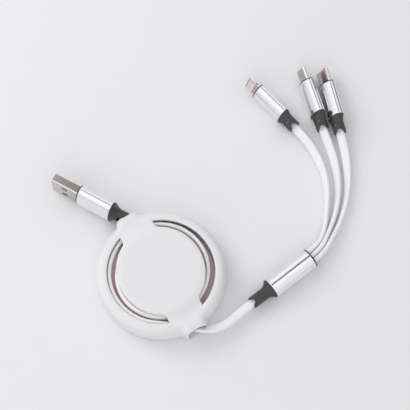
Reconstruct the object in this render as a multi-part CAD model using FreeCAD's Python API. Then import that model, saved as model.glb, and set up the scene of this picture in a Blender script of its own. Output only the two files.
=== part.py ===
"""Retractable charging cable with three plugs on a spring reel.

A round housing lies flat on its underside. A reel inside it holds the wound flat cable, and a spiral
spring winds the cable back. One cable end carries a standard A plug and leaves the housing through one
ear. The other end leaves through the opposite ear and runs to a splitter with three branch plugs.
Lengths are in millimetres, angles in degrees, +Z is up and the origin is the middle of the underside.
"""
import FreeCAD
import Part
import math
import os

V = FreeCAD.Vector
UP = V(0, 0, 1)

# Housing
housing_radius = 29.0
housing_height = 14.0
housing_wall = 2.4
floor_thickness = 1.6
bottom_edge_radius = 2.6
rim_edge_radius = 3.8
rim_width = 4.8
rim_drop = 0.3
lip_thickness = 1.1

# Raised face with its two arms
face_rise = 2.0
slot_width = 4.6
disc_stretch = 1.3
arm_width = 16.6
arm_angle = 120.0
arm_corner_radius = 2.6
arm_slope_inset = 2.6
arm_sink = 0.02
face_edge_radius = 0.7
face_plate = 1.6
skirt_width = 1.2

# Ears at the ends of the arms, with the cable mouths
ear_offset = 0.8
ear_width = 12.0
ear_projection = 3.0
ear_corner_radius = 4.0
ear_root_radius = 3.0
mouth_angle = 132.5
mouth_offset = -6.0
mouth_width = 8.6
mouth_height = 7.6
mouth_corner_radius = 2.4

# Post, screw and bearing rib
post_radius = 3.0
screw_radius = 1.0
screw_head_radius = 2.2
screw_head_height = 1.3
screw_head_sink = 0.3
screw_recess = 0.7
recess_length = 2.6
recess_width = 0.6
screw_bite = 1.2
hole_clearance = 0.15
rib_radius = 12.0
rib_width = 1.4

# Reel
journal_clearance = 0.1
flange_setback = 2.6
flange_thickness = 1.2
flange_step = 0.9
flange_overlap = 1.5
drum_wall = 1.3
reel_play = 0.2
lid_setback = 2.0
lid_thickness = 1.0
track_inner_radius = 12.4
track_outer_radius = 16.8
track_depth = 0.5
tooth_length = 1.4
tooth_count = 6
tooth_arc = 30.0

# Lock ball and its guide
ball_lane_radius = 13.9
ball_angle = 210.0
guide_width = 0.8
guide_clearance = 0.25
guide_lift = 0.3
ball_play = 0.02
ball_headroom = 0.28

# Spiral spring
spring_turns = 5
spring_pitch = 0.72
spring_thickness = 0.22
spring_inner_radius = 3.7
spring_tab_depth = 0.7
spring_tab_width = 0.4
spring_play = 0.1

# Flat cable
cable_width = 4.0
cable_thickness = 1.9
coil_turns = 4
coil_pitch = 2.0
coil_inner_radius = 9.3
coil_round = 0.45
coil_lift = 1.0
lead_radius = 23.3
lead_lift = 1.1
lead_end_angle = 268.0
lead_start_angle = -210.0
# Angles at which the loose turn tightens, and by how much
lead_lanes = ((128.0, 1.4), (-52.0, 1.6), (-128.0, 1.5))
lead_bend_run = 8.6
lead_mouth_shift = -1.0
lead_mouth_depth = 0.6
usb_lead_angle = 97.0
usb_lead_gap = 0.2
usb_lead_run = 11.5
cord_lead_out = 5.0
cap_lead_out = 6.0

# Plug bodies shared by all plugs
sleeve_wall = 0.7
sleeve_edge = 0.25
oval_end_share = 0.74
fit_clearance = 0.05
collar_thickness = 0.5
collar_inset = 0.25
socket_depth = 4.0

# Strain reliefs
relief_neck = 6.1
relief_neck_flatness = 0.2
relief_shoulder = 0.9
relief_flare = 3.2
relief_bore = 4.4
relief_cap = 1.2
fork_width = 3.0
fork_depth = 1.5
window_length = 1.0
window_width = 2.6
window_place = 4.3
plug_fork_turn = 55.0
plug_window_turn = 25.0

# A plug
usb_sleeve_length = 16.5
usb_sleeve_width = 14.8
usb_sleeve_thickness = 8.7
usb_relief_length = 8.0
usb_reach = 13.4
usb_shell_width = 12.0
usb_shell_thickness = 4.5
usb_shell_wall = 0.3
usb_shell_corner = 0.6
usb_tang_width = 8.6
usb_hole_length = 2.5
usb_hole_width = 2.2
usb_hole_spacing = 5.6
usb_hole_place = 6.6
usb_tongue_thickness = 1.85
usb_tongue_setback = 1.0
usb_contact_count = 4
usb_contact_pitch = 2.3
usb_contact_width = 1.1
usb_contact_length = 7.4
usb_contact_height = 0.2
usb_contact_setback = 0.5

# Eight pin plug
eight_sleeve_length = 16.5
eight_sleeve_width = 9.4
eight_sleeve_thickness = 6.4
eight_reach = 6.8
eight_tab_width = 6.7
eight_tab_thickness = 1.5
eight_side_flat = 0.1
eight_notch_radius = 0.55
eight_notch_place = 4.9
eight_window_length = 3.2
eight_window_width = 5.2
eight_window_setback = 0.9
eight_pad_count = 8
eight_pad_pitch = 0.6
eight_pad_width = 0.36
eight_pad_length = 2.0
eight_pad_margin = 0.2
eight_pad_height = 0.04

# Micro plug
micro_sleeve_length = 16.5
micro_sleeve_width = 10.2
micro_sleeve_thickness = 6.4
micro_reach = 6.8
micro_shell_width = 6.85
micro_shell_base = 5.4
micro_shell_thickness = 1.8
micro_shell_shoulder = 0.9
micro_shell_wall = 0.25
micro_tongue_thickness = 0.6

# Type C plug
type_c_sleeve_length = 16.7
type_c_sleeve_width = 10.4
type_c_sleeve_thickness = 6.4
type_c_reach = 7.0
type_c_shell_width = 8.25
type_c_shell_thickness = 2.4
type_c_shell_wall = 0.25
type_c_side_flat = 0.04
type_c_mouth_width = 6.2
type_c_mouth_height = 0.7
type_c_mouth_depth = 5.6

# Plugs on the three branches
branch_relief_length = 8.2

# Splitter
splitter_sleeve_length = 22.6
splitter_sleeve_width = 10.0
splitter_sleeve_thickness = 8.4
splitter_relief_length = 11.2
splitter_neck = 5.5
splitter_fork_turn = 0.0
splitter_window_turn = 90.0
splitter_cap_thickness = 0.6
splitter_cap_depth = 4.0
splitter_pitch = 2.4
splitter_hole_clearance = 0.12

# Where the A plug lies behind its mouth
usb_standoff = 5.1
usb_shift = 2.66
usb_heading = 151.0
usb_lean = 92.0

# Where each other plug body lies: rear of the sleeve, heading of the plug and lean about its axis
eight_spot = (56.0, 78.5, 132.5, 115.0)
micro_spot = (72.2, 79.1, 107.5, 115.0)
type_c_spot = (80.7, 77.5, 103.5, 119.0)
splitter_spot = (49.2, -5.8, 38.7, 180.0)

# Points of the free cords between their ends, chosen by eye along their lie on the table
main_route = ((25.8, -25.4, 5.4),)
eight_route = (
    (70.6, 61.0, 2.5), (74.6, 51.8, 2.1), (76.0, 41.8, 2.1), (75.4, 31.8, 2.1), (73.2, 22.4, 2.8),
)
micro_route = (
    (79.2, 58.2, 2.6), (80.9, 48.4, 2.1), (80.8, 38.4, 2.1), (78.8, 28.8, 2.1), (75.5, 20.4, 2.8),
)
type_c_route = (
    (85.4, 55.2, 2.6), (85.6, 45.4, 2.1), (84.2, 35.6, 2.1), (81.4, 26.6, 2.1), (77.6, 18.8, 2.8),
)
arc_share = 0.45
lead_edge_count = 3

# Overshoot of a cut past the surface that it opens, and the tolerance for finding edges
overshoot = 1.0
edge_tolerance = 1e-4

# Heights and radii that follow from the sizes above
parting_height = housing_height / 2
rim_height = housing_height - face_rise
slot_outer_radius = housing_radius - rim_width
disc_radius = slot_outer_radius - slot_width
arm_slope_start = disc_radius - arm_slope_inset
ear_reach = housing_radius + ear_projection
cable_height = parting_height
coil_bottom = cable_height + coil_lift - cable_width / 2
coil_top = coil_bottom + cable_width
coil_outer_radius = coil_inner_radius + coil_turns * coil_pitch
flange_bottom = coil_bottom - flange_thickness
lid_bottom = coil_top + reel_play
lid_top = lid_bottom + lid_thickness
track_floor = lid_top - track_depth
bore_radius = post_radius + journal_clearance
cup_radius = coil_inner_radius - drum_wall
cavity_radius = housing_radius - housing_wall
flange_radius = cavity_radius - flange_setback
lid_radius = disc_radius - lid_setback
slot_edge_height = rim_height - rim_drop
lip_bottom = slot_edge_height - lip_thickness
face_ceiling = housing_height - face_plate
ball_radius = (face_ceiling - track_floor - ball_play - ball_headroom) / 2
lead_height = cable_height + lead_lift


def polar(radius, angle, height=0.0):
    """Return the point at a radius and angle about the vertical axis."""
    turn = math.radians(angle)
    return V(radius * math.cos(turn), radius * math.sin(turn), height)


def one_solid(shape):
    """Return the only solid of a shape, with its split faces merged."""
    solids = shape.removeSplitter().Solids
    if len(solids) != 1:
        raise ValueError(f"expected one solid, found {len(solids)}")
    return solids[0]


def cylinder(radius, bottom, top):
    """Return an upright cylinder on the main axis."""
    return Part.makeCylinder(radius, top - bottom, V(0, 0, bottom))


def ring(inner, outer, bottom, top):
    """Return an upright ring on the main axis."""
    return cylinder(outer, bottom, top).cut(cylinder(inner, bottom, top))


def box(x_range, y_range, z_range):
    """Return a box from three ranges."""
    size = [high - low for low, high in (x_range, y_range, z_range)]
    return Part.makeBox(*size, V(x_range[0], y_range[0], z_range[0]))


def turned(shape, angle):
    """Return a copy of a shape turned about the main axis."""
    copy = shape.copy()
    copy.rotate(V(0, 0, 0), UP, angle)
    return copy


def revolved(edges):
    """Return the solid of a closed profile in the XZ plane, revolved about the main axis."""
    face = Part.Face(Part.Wire(edges))
    return face.revolve(V(0, 0, 0), UP, 360)


def line(start, end):
    """Return a straight edge."""
    return Part.LineSegment(start, end).toShape()


def profile_lines(points):
    """Return the closed loop of straight edges through (radius, height) points."""
    corners = [V(r, 0, z) for r, z in points]
    return [line(a, b) for a, b in zip(corners, corners[1:] + corners[:1])]


def quarter(center, radius, start_angle):
    """Return a quarter arc in the XZ plane, running counter-clockwise from an angle."""
    points = []
    for step in (0, 45, 90):
        turn = math.radians(start_angle + step)
        points.append(center + V(radius * math.cos(turn), 0, radius * math.sin(turn)))
    return Part.Arc(*points).toShape()


def arc_about(center, start, end):
    """Return the short arc about a centre in plan."""
    radius = (start - center).Length
    middle = (start - center) + (end - center)
    middle.normalize()
    return Part.Arc(start, center + middle * radius, end).toShape()


def ear_side(side):
    """Return the points of one side of an ear on X: root foot and centre, corner start, centre and end."""
    across = ear_offset + side * ear_width / 2
    corner = V(ear_reach - ear_corner_radius, across - side * ear_corner_radius, 0)
    to_root, to_corner = housing_radius + ear_root_radius, ear_corner_radius + ear_root_radius
    along = (to_root ** 2 - to_corner ** 2 + corner.Length ** 2) / (2 * corner.Length)
    off = math.sqrt(to_root ** 2 - along ** 2)
    axis = V(corner.x, corner.y, 0).normalize()
    root = axis * along + V(-axis.y, axis.x, 0) * (side * off)
    foot = root * (housing_radius / to_root)
    shoulder = corner + (root - corner) * (ear_corner_radius / to_corner)
    nose = V(ear_reach, corner.y, 0)
    return foot, root, shoulder, corner, nose


def housing_plan():
    """Return the outline of the ring with its two ears on X, all tangent."""
    foot_a, root_a, shoulder_a, corner_a, nose_a = ear_side(-1)
    foot_b, root_b, shoulder_b, corner_b, nose_b = ear_side(1)
    far_side = V(-foot_a.x, -foot_a.y, 0)
    edges = [
        arc_about(root_a, foot_a, shoulder_a),
        arc_about(corner_a, shoulder_a, nose_a),
        line(nose_a, nose_b),
        arc_about(corner_b, nose_b, shoulder_b),
        arc_about(root_b, shoulder_b, foot_b),
        arc_about(V(0, 0, 0), foot_b, far_side),
    ]
    return Part.Wire(edges + [turned(edge, 180) for edge in edges])


def level_edges(shape, height):
    """Return the edges of a shape that lie at one height."""
    found = []
    for edge in shape.Edges:
        span = edge.BoundBox
        if abs(span.ZMin - height) + abs(span.ZMax - height) < edge_tolerance:
            found.append(edge)
    return found


def rim_cut():
    """Return the cut that rounds the ring down to the slots."""
    crown = V(housing_radius - rim_edge_radius, 0, rim_height)
    low = V(slot_outer_radius, 0, slot_edge_height)
    across = crown.x - low.x
    radius = (across ** 2 + rim_drop ** 2) / (2 * rim_drop)
    center = crown - V(0, 0, radius)
    half_turn = math.asin(across / radius) / 2
    middle = center + V(-math.sin(half_turn), 0, math.cos(half_turn)) * radius
    above = rim_height + overshoot
    edges = [
        Part.Arc(crown, middle, low).toShape(),
        line(low, V(0, 0, slot_edge_height)),
        line(V(0, 0, slot_edge_height), V(0, 0, above)),
        line(V(0, 0, above), V(crown.x, 0, above)),
        line(V(crown.x, 0, above), crown),
    ]
    return revolved(edges)


def ring_with_ears():
    """Return the round body with its ears, rounded at foot and rim and lowered inside the ring."""
    body = Part.Face(housing_plan()).extrude(V(0, 0, rim_height))
    body = body.makeFillet(rim_edge_radius, level_edges(body, rim_height))
    body = body.makeFillet(bottom_edge_radius, level_edges(body, 0))
    return turned(body, arm_angle).cut(rim_cut())


def arm_limit():
    """Return the round body that the arms end at: flat, then sloping down softly onto the ring's crown."""
    rim = V(housing_radius - rim_edge_radius, 0, rim_height - rim_edge_radius - arm_sink)
    high = V(arm_slope_start, 0, housing_height)
    low = V(rim.x, 0, rim_height - arm_sink)
    middle = (high + low) * 0.5
    run, drop = middle.x - high.x, high.z - middle.z
    radius = (run ** 2 + drop ** 2) / (2 * drop)
    half_turn = math.atan2(drop, run)
    step = V(math.sin(half_turn), 0, math.cos(half_turn)) * radius
    edges = [
        Part.Arc(high, high - V(0, 0, radius) + step, middle).toShape(),
        Part.Arc(middle, low + V(0, 0, radius) - step, low).toShape(),
        quarter(rim, rim_edge_radius, 0),
        line(V(housing_radius, 0, rim.z), V(housing_radius, 0, 0)),
        line(V(housing_radius, 0, 0), V(0, 0, 0)),
        line(V(0, 0, 0), V(0, 0, housing_height)),
        line(V(0, 0, housing_height), high),
    ]
    return revolved(edges)


def face_block():
    """Return the disc and its two arms as one block, with rounded inner corners."""
    oval = Part.Ellipse(V(0, 0, lip_bottom), disc_radius + disc_stretch, disc_radius).toShape()
    disc = Part.Face(Part.Wire(oval)).extrude(V(0, 0, housing_height - lip_bottom))
    half = arm_width / 2
    arms = box((-housing_radius, housing_radius), (-half, half), (lip_bottom, housing_height))
    block = one_solid(disc.fuse(arms))
    corners = []
    for edge in block.Edges:
        span = edge.BoundBox
        upright = span.XLength + span.YLength < edge_tolerance
        if upright and abs(span.XMin) < housing_radius - overshoot:
            corners.append(edge)
    return turned(block.makeFillet(arm_corner_radius, corners), arm_angle)


def raised_face(block):
    """Return the disc and arms, sloped down to the ring and rounded along their upper edge."""
    face = one_solid(block.common(arm_limit()))
    outline = Part.Compound(level_edges(block, lip_bottom))
    rims = []
    for edge in face.Edges:
        middle = edge.valueAt((edge.FirstParameter + edge.LastParameter) / 2)
        below = Part.Vertex(middle.x, middle.y, lip_bottom)
        on_side = outline.distToShape(below)[0] < edge_tolerance
        if on_side and middle.z > rim_height and edge.BoundBox.ZLength < face_rise:
            rims.append(edge)
    return face.makeFillet(face_edge_radius, rims)


def mouth_frame(along, across, height):
    """Return the point at a distance along a mouth's axis and across it."""
    return polar(along, mouth_angle) + polar(across, mouth_angle + 90) + V(0, 0, height)


def mouth():
    """Return the cut for one cable mouth."""
    side = (mouth_offset - mouth_width / 2, mouth_offset + mouth_width / 2)
    height = (cable_height - mouth_height / 2, cable_height + mouth_height / 2)
    block = box((disc_radius, ear_reach + mouth_width / 2), side, height)
    long_edges = [edge for edge in block.Edges if edge.BoundBox.XLength > edge_tolerance]
    return turned(block.makeFillet(mouth_corner_radius, long_edges), mouth_angle)


def housing_body():
    """Return the hollow housing before it is split into two covers."""
    block = face_block()
    body = ring_with_ears().fuse(raised_face(block))
    recess_radius = disc_radius - skirt_width
    cavity = cylinder(cavity_radius, floor_thickness, lip_bottom)
    cavity = cavity.fuse(cylinder(recess_radius, floor_thickness, face_ceiling))
    slot_floor = lip_bottom - overshoot
    slots = ring(disc_radius - overshoot, slot_outer_radius, slot_floor, housing_height).cut(block)
    return body.cut([cavity, slots, mouth(), turned(mouth(), 180)])


def lower_cover(body):
    """Return the lower cover with its post, bearing rib and screw hole."""
    reach = 2 * housing_radius
    half = body.common(box((-reach, reach), (-reach, reach), (0, parting_height)))
    post = cylinder(post_radius, floor_thickness, lip_bottom)
    rib = ring(rib_radius - rib_width, rib_radius, floor_thickness, flange_bottom)
    half = half.fuse([post, rib])
    head_room = screw_head_sink + screw_head_height
    hole = cylinder(screw_radius + hole_clearance, 0, lip_bottom)
    counterbore = cylinder(screw_head_radius + hole_clearance, 0, head_room)
    return one_solid(half.cut([hole, counterbore, spring_notch_in_post()]))


def upper_cover(body):
    """Return the upper cover with its screw boss and the guide of the lock ball."""
    reach = 2 * housing_radius
    half = body.common(box((-reach, reach), (-reach, reach), (parting_height, housing_height)))
    boss = cylinder(post_radius, lip_bottom, face_ceiling)
    inside = ball_radius + guide_clearance
    guide_bottom = lid_top + guide_lift
    guides = []
    for low, high in ((inside, inside + guide_width), (-inside - guide_width, -inside)):
        rail = box((track_inner_radius, track_outer_radius), (low, high), (guide_bottom, face_ceiling))
        guides.append(turned(rail, ball_angle))
    half = half.fuse([boss] + guides)
    pilot = cylinder(screw_radius + fit_clearance, lip_bottom, lip_bottom + screw_bite + hole_clearance)
    return one_solid(half.cut(pilot))


def cover_screw():
    """Return the screw that holds the covers together, with its cross recess."""
    seat = screw_head_sink + screw_head_height
    shank = cylinder(screw_radius, seat, lip_bottom + screw_bite)
    head = cylinder(screw_head_radius, screw_head_sink, seat)
    long_side = (-recess_length / 2, recess_length / 2)
    short_side = (-recess_width / 2, recess_width / 2)
    depth = (screw_head_sink, screw_head_sink + screw_recess)
    cross = box(long_side, short_side, depth).fuse(box(short_side, long_side, depth))
    return one_solid(head.fuse(shank).cut(cross))


def reel_drum():
    """Return the drum of the reel with its lower flange and the lower brim under the loose turn."""
    flange = ring(bore_radius, coil_outer_radius, flange_bottom, coil_bottom)
    brim_inside = coil_outer_radius - flange_overlap
    brim = ring(brim_inside, flange_radius, flange_bottom - flange_step, coil_bottom - flange_step)
    drum = ring(cup_radius, coil_inner_radius, coil_bottom, lid_bottom)
    return one_solid(flange.fuse([brim, drum]).cut(spring_notch_in_drum()))


def reel_top_flange():
    """Return the lid of the reel with the toothed track of the lock ball."""
    lid = ring(bore_radius, lid_radius, lid_bottom, lid_top)
    track = ring(track_inner_radius, track_outer_radius, track_floor, lid_top)
    core = cylinder(track_outer_radius - tooth_length, track_floor, lid_top)
    start, depth = V(0, 0, track_floor), lid_top - track_floor
    tooth = Part.makeCylinder(track_outer_radius + overshoot, depth, start, UP, tooth_arc).cut(core)
    for index in range(tooth_count):
        track = track.cut(turned(tooth, index * 360.0 / tooth_count))
    return one_solid(lid.cut(track))


def lock_ball():
    """Return the ball that rides in the track of the lid."""
    center = polar(ball_lane_radius, ball_angle, track_floor + ball_radius + ball_play)
    return Part.makeSphere(ball_radius, center)


def spring_end_radius():
    """Return the radius at the outer end of the spring."""
    return spring_inner_radius + spring_turns * spring_pitch


def spring_height():
    """Return the lower and the upper edge of the spring."""
    return coil_bottom + spring_play, lid_bottom - spring_play


def spring_notch_in_post():
    """Return the cut that takes the inner tab of the spring."""
    play = spring_play
    side = (-spring_tab_width - play, play * 2)
    return box((post_radius - spring_tab_depth, post_radius + overshoot), side, spring_height())


def spring_notch_in_drum():
    """Return the cut that takes the outer tab of the spring."""
    play = spring_play
    side = (-play * 2, spring_tab_width + play)
    return box((cup_radius - overshoot, cup_radius + spring_tab_depth), side, (coil_bottom, lid_bottom))


def half_turns(offset):
    """Return the half-circle edges of the spring's spiral, moved outwards by an offset."""
    edges = []
    for index in range(2 * spring_turns):
        radius = spring_inner_radius + index * spring_pitch / 2 + offset
        lower = index % 2
        center = V(lower * spring_pitch / 2, 0, 0)
        points = [center + polar(radius, step + 180 * lower) for step in (0, 90, 180)]
        edges.append(Part.Arc(*points).toShape())
    return edges


def spiral_spring():
    """Return the spiral spring with a tab at each end."""
    bottom, top = spring_height()
    half = spring_thickness / 2
    outer, inner = half_turns(half), half_turns(-half)
    start = line(inner[0].Vertexes[0].Point, outer[0].Vertexes[0].Point)
    end = line(outer[-1].Vertexes[-1].Point, inner[-1].Vertexes[-1].Point)
    loop = Part.Wire(Part.__sortEdges__(outer + [end] + inner + [start]))
    ribbon = Part.Face(loop).extrude(V(0, 0, top - bottom))
    ribbon.translate(V(0, 0, bottom))
    root_x = (post_radius - spring_tab_depth, spring_inner_radius + half)
    root = box(root_x, (-spring_tab_width, spring_play), (bottom, top))
    tip_x = (spring_end_radius() - half, cup_radius + spring_tab_depth)
    tip = box(tip_x, (-spring_play, spring_tab_width), (bottom, top))
    return one_solid(ribbon.fuse([root, tip]))


def cable_coil():
    """Return the wound cable as one body, with a rounded ridge for each turn."""
    upper = []
    for turn in range(coil_turns):
        start = coil_inner_radius + turn * coil_pitch
        upper.append((start, coil_top - coil_round))
        upper.append((start + coil_round, coil_top))
        upper.append((start + coil_pitch - coil_round, coil_top))
    upper.append((coil_outer_radius, coil_top - coil_round))
    lower = [(radius, coil_bottom + coil_top - height) for radius, height in reversed(upper)]
    return revolved(profile_lines(upper + lower))


def stadium(width, thickness):
    """Return a rounded strip outline in the YZ plane, with its width upright."""
    radius = thickness / 2
    flat = width / 2 - radius
    corners = [V(0, radius, -flat), V(0, radius, flat), V(0, -radius, flat), V(0, -radius, -flat)]
    top = Part.Arc(corners[1], V(0, 0, width / 2), corners[2]).toShape()
    bottom = Part.Arc(corners[3], V(0, 0, -width / 2), corners[0]).toShape()
    return Part.Wire([line(corners[0], corners[1]), top, line(corners[2], corners[3]), bottom])


def cord_path(points, name):
    """Return the path of straight runs and tangent arcs through points, and say its radii."""
    edges, radii = [], []
    last = points[0]
    for before, here, after in zip(points, points[1:], points[2:]):
        back, ahead = before - here, after - here
        turn = math.pi - back.getAngle(ahead)
        cut = arc_share * min(back.Length, ahead.Length)
        radii.append(cut / math.tan(turn / 2))
        start = here + back * (cut / back.Length)
        end = here + ahead * (cut / ahead.Length)
        bisector = (back * (1 / back.Length) + ahead * (1 / ahead.Length)).normalize()
        depth = radii[-1] * (1 / math.cos(turn / 2) - 1)
        edges.append(line(last, start))
        edges.append(Part.Arc(start, here + bisector * depth, end).toShape())
        last = end
    edges.append(line(last, points[-1]))
    print(name, "bend radii", [round(radius, 1) for radius in radii])
    return edges


def strip_along(edges, name):
    """Return the flat cable swept along a path, standing on its edge."""
    path = Part.Wire(edges)
    first = path.Edges[0]
    heading = first.tangentAt(first.FirstParameter)
    side = UP.cross(heading).normalize()
    outline = stadium(cable_width, cable_thickness)
    turn = FreeCAD.Rotation(heading, side, heading.cross(side), "XYZ")
    outline.Placement = FreeCAD.Placement(first.valueAt(first.FirstParameter), turn)
    sweep = Part.BRepOffsetAPI.MakePipeShell(path)
    sweep.setBiNormalMode(UP)
    sweep.add(outline)
    sweep.build()
    sweep.makeSolid()
    solid = sweep.shape().Solids[0]
    share = solid.Volume / (Part.Face(stadium(cable_width, cable_thickness)).Area * path.Length)
    print(name, "length", round(path.Length, 1), "volume share", round(share, 3))
    return solid


def oval_wire(x, width, thickness):
    """Return an oval of four tangent arcs at a place along X, with its width on Y."""
    half = thickness / 2
    end_radius = oval_end_share * half
    reach = width / 2 - end_radius
    side_radius = (reach ** 2 + half ** 2 - end_radius ** 2) / (2 * (half - end_radius))
    slope = math.atan2(side_radius - half, reach)
    y = reach + end_radius * math.cos(slope)
    z = end_radius * math.sin(slope)
    arcs = [
        (V(x, y, -z), V(x, width / 2, 0), V(x, y, z)),
        (V(x, y, z), V(x, 0, half), V(x, -y, z)),
        (V(x, -y, z), V(x, -width / 2, 0), V(x, -y, -z)),
        (V(x, -y, -z), V(x, 0, -half), V(x, y, -z)),
    ]
    return Part.Wire([Part.Arc(*points).toShape() for points in arcs])


def oval_bar(start, end, width, thickness):
    """Return a straight bar of oval section along X."""
    return Part.Face(oval_wire(start, width, thickness)).extrude(V(end - start, 0, 0))


def oval_rest_height(width, thickness, lean):
    """Return the height of an oval's middle when it lies on the table at a lean."""
    half = thickness / 2
    end_radius = oval_end_share * half
    reach = width / 2 - end_radius
    side_radius = (reach ** 2 + half ** 2 - end_radius ** 2) / (2 * (half - end_radius))
    turn = math.radians(lean)
    on_end = abs(math.tan(turn)) > reach / (side_radius - half)
    if on_end:
        return reach * abs(math.sin(turn)) + end_radius
    return side_radius - (side_radius - half) * abs(math.cos(turn))


def plug_placement(spot, width, thickness):
    """Return the placement of a plug body that lies on the table."""
    x, y, heading, lean = spot
    turn = FreeCAD.Rotation(UP, heading).multiply(FreeCAD.Rotation(V(1, 0, 0), lean))
    return FreeCAD.Placement(V(x, y, oval_rest_height(width, thickness, lean)), turn)


def sleeve(length, width, thickness):
    """Return an oval metal sleeve that starts at X 0, with its rims broken."""
    bar = oval_bar(0, length, width, thickness)
    rims = [edge for edge in bar.Edges if edge.BoundBox.XLength < edge_tolerance]
    bar = bar.makeChamfer(sleeve_edge, rims)
    return one_solid(bar.cut(oval_bar(0, length, width - 2 * sleeve_wall, thickness - 2 * sleeve_wall)))


def insert(length, width, thickness, socket):
    """Return the moulded filling of a sleeve, with a thin collar at the front and a plug socket."""
    gap = 2 * (sleeve_wall + fit_clearance)
    core = oval_bar(0, length, width - gap, thickness - gap)
    inset = 2 * collar_inset
    collar = oval_bar(length, length + collar_thickness, width - inset, thickness - inset)
    return one_solid(core.fuse(collar).cut(socket))


def strain_relief(length, width, thickness, neck_width, fork_turn, window_turn):
    """Return a flared strain relief behind a sleeve, with a forked end and a cross window turned about X."""
    inset = 2 * collar_inset
    neck_thickness = neck_width - relief_neck_flatness
    waist_width = (width - inset + neck_width) / 2
    waist_thickness = (thickness - inset + neck_thickness) / 2
    flare = Part.makeLoft([
        oval_wire(-relief_shoulder, width - inset, thickness - inset),
        oval_wire(-(relief_shoulder + relief_flare) / 2, waist_width, waist_thickness),
        oval_wire(-relief_flare, neck_width, neck_thickness),
    ], True, True)
    shoulder = oval_bar(-relief_shoulder, 0, width - inset, thickness - inset)
    neck = oval_bar(-length, -relief_flare, neck_width, neck_thickness)
    through = (-width, width)
    bore = Part.makeCylinder(relief_bore / 2, length - relief_cap, V(-length, 0, 0), V(1, 0, 0))
    fork_end = fork_depth - length - fork_width / 2
    fork = box((-length - overshoot, fork_end), (-fork_width / 2, fork_width / 2), through)
    fork_round = Part.makeCylinder(fork_width / 2, 2 * width, V(fork_end, 0, -width), UP)
    fork = fork.fuse(fork_round)
    fork.rotate(V(0, 0, 0), V(1, 0, 0), fork_turn)
    window_x = (-window_place - window_length / 2, -window_place + window_length / 2)
    window = box(window_x, (-window_width / 2, window_width / 2), through)
    window.rotate(V(0, 0, 0), V(1, 0, 0), window_turn)
    return one_solid(shoulder.fuse([flare, neck]).cut([bore, fork, window]))


def plug_relief(length, width, thickness):
    """Return the strain relief of a plug."""
    return strain_relief(length, width, thickness, relief_neck, plug_fork_turn, plug_window_turn)


def placed(pieces, prefix, placement):
    """Return the pieces of a plug under their full names, moved to where the plug lies."""
    result = {}
    for name, shape in pieces.items():
        copy = shape.copy()
        copy.Placement = placement.multiply(copy.Placement)
        result[f"{prefix}_{name}"] = copy
    return result


def rounded_bar(start, end, width, thickness, radius):
    """Return a flat bar along X with rounded long edges."""
    half_w, half_t = width / 2, thickness / 2
    bar = box((start, end), (-half_w, half_w), (-half_t, half_t))
    long_edges = [edge for edge in bar.Edges if edge.BoundBox.XLength > (end - start) / 2]
    return bar.makeFillet(radius, long_edges)


def usb_plug():
    """Return the pieces of the A plug."""
    front = usb_sleeve_length + collar_thickness
    root, tip = front - socket_depth, front + usb_reach
    wall, corner = usb_shell_wall, usb_shell_corner
    width, thickness = usb_shell_width, usb_shell_thickness
    tang = rounded_bar(root, front, usb_tang_width, thickness, corner)
    outer = rounded_bar(front, tip, width, thickness, corner).fuse(tang)
    bore = rounded_bar(front + wall, tip, width - 2 * wall, thickness - 2 * wall, corner - wall)
    tang_width = usb_tang_width - 2 * wall
    tang_bore = rounded_bar(root, front + wall, tang_width, thickness - 2 * wall, corner - wall)
    shell = outer.cut([bore, tang_bore])
    hole_x = (tip - usb_hole_place - usb_hole_length / 2, tip - usb_hole_place + usb_hole_length / 2)
    for side in (-1, 1):
        middle = side * usb_hole_spacing / 2
        hole_y = (middle - usb_hole_width / 2, middle + usb_hole_width / 2)
        shell = shell.cut(box(hole_x, hole_y, (-thickness, thickness)))
    floor = wall - thickness / 2
    tongue_top = floor + usb_tongue_thickness
    tongue_side = width / 2 - wall - corner
    tongue_x = (front + wall, tip - usb_tongue_setback)
    tongue = box(tongue_x, (-tongue_side, tongue_side), (floor, tongue_top))
    gap = 2 * fit_clearance
    socket_end = front + overshoot
    socket = rounded_bar(root, socket_end, usb_tang_width + gap, thickness + gap, corner + fit_clearance)
    pieces = {
        "sleeve": sleeve(usb_sleeve_length, usb_sleeve_width, usb_sleeve_thickness),
        "insert": insert(usb_sleeve_length, usb_sleeve_width, usb_sleeve_thickness, socket),
        "strain_relief": plug_relief(usb_relief_length, usb_sleeve_width, usb_sleeve_thickness),
        "shell": one_solid(shell),
        "tongue": tongue,
    }
    contact_end = tip - usb_tongue_setback - usb_contact_setback
    for index in range(usb_contact_count):
        middle = (index - (usb_contact_count - 1) / 2) * usb_contact_pitch
        side = (middle - usb_contact_width / 2, middle + usb_contact_width / 2)
        rise = (tongue_top, tongue_top + usb_contact_height)
        pieces[f"contact_{index + 1}"] = box((contact_end - usb_contact_length, contact_end), side, rise)
    return placed(pieces, "usb", usb_placement())


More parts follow.
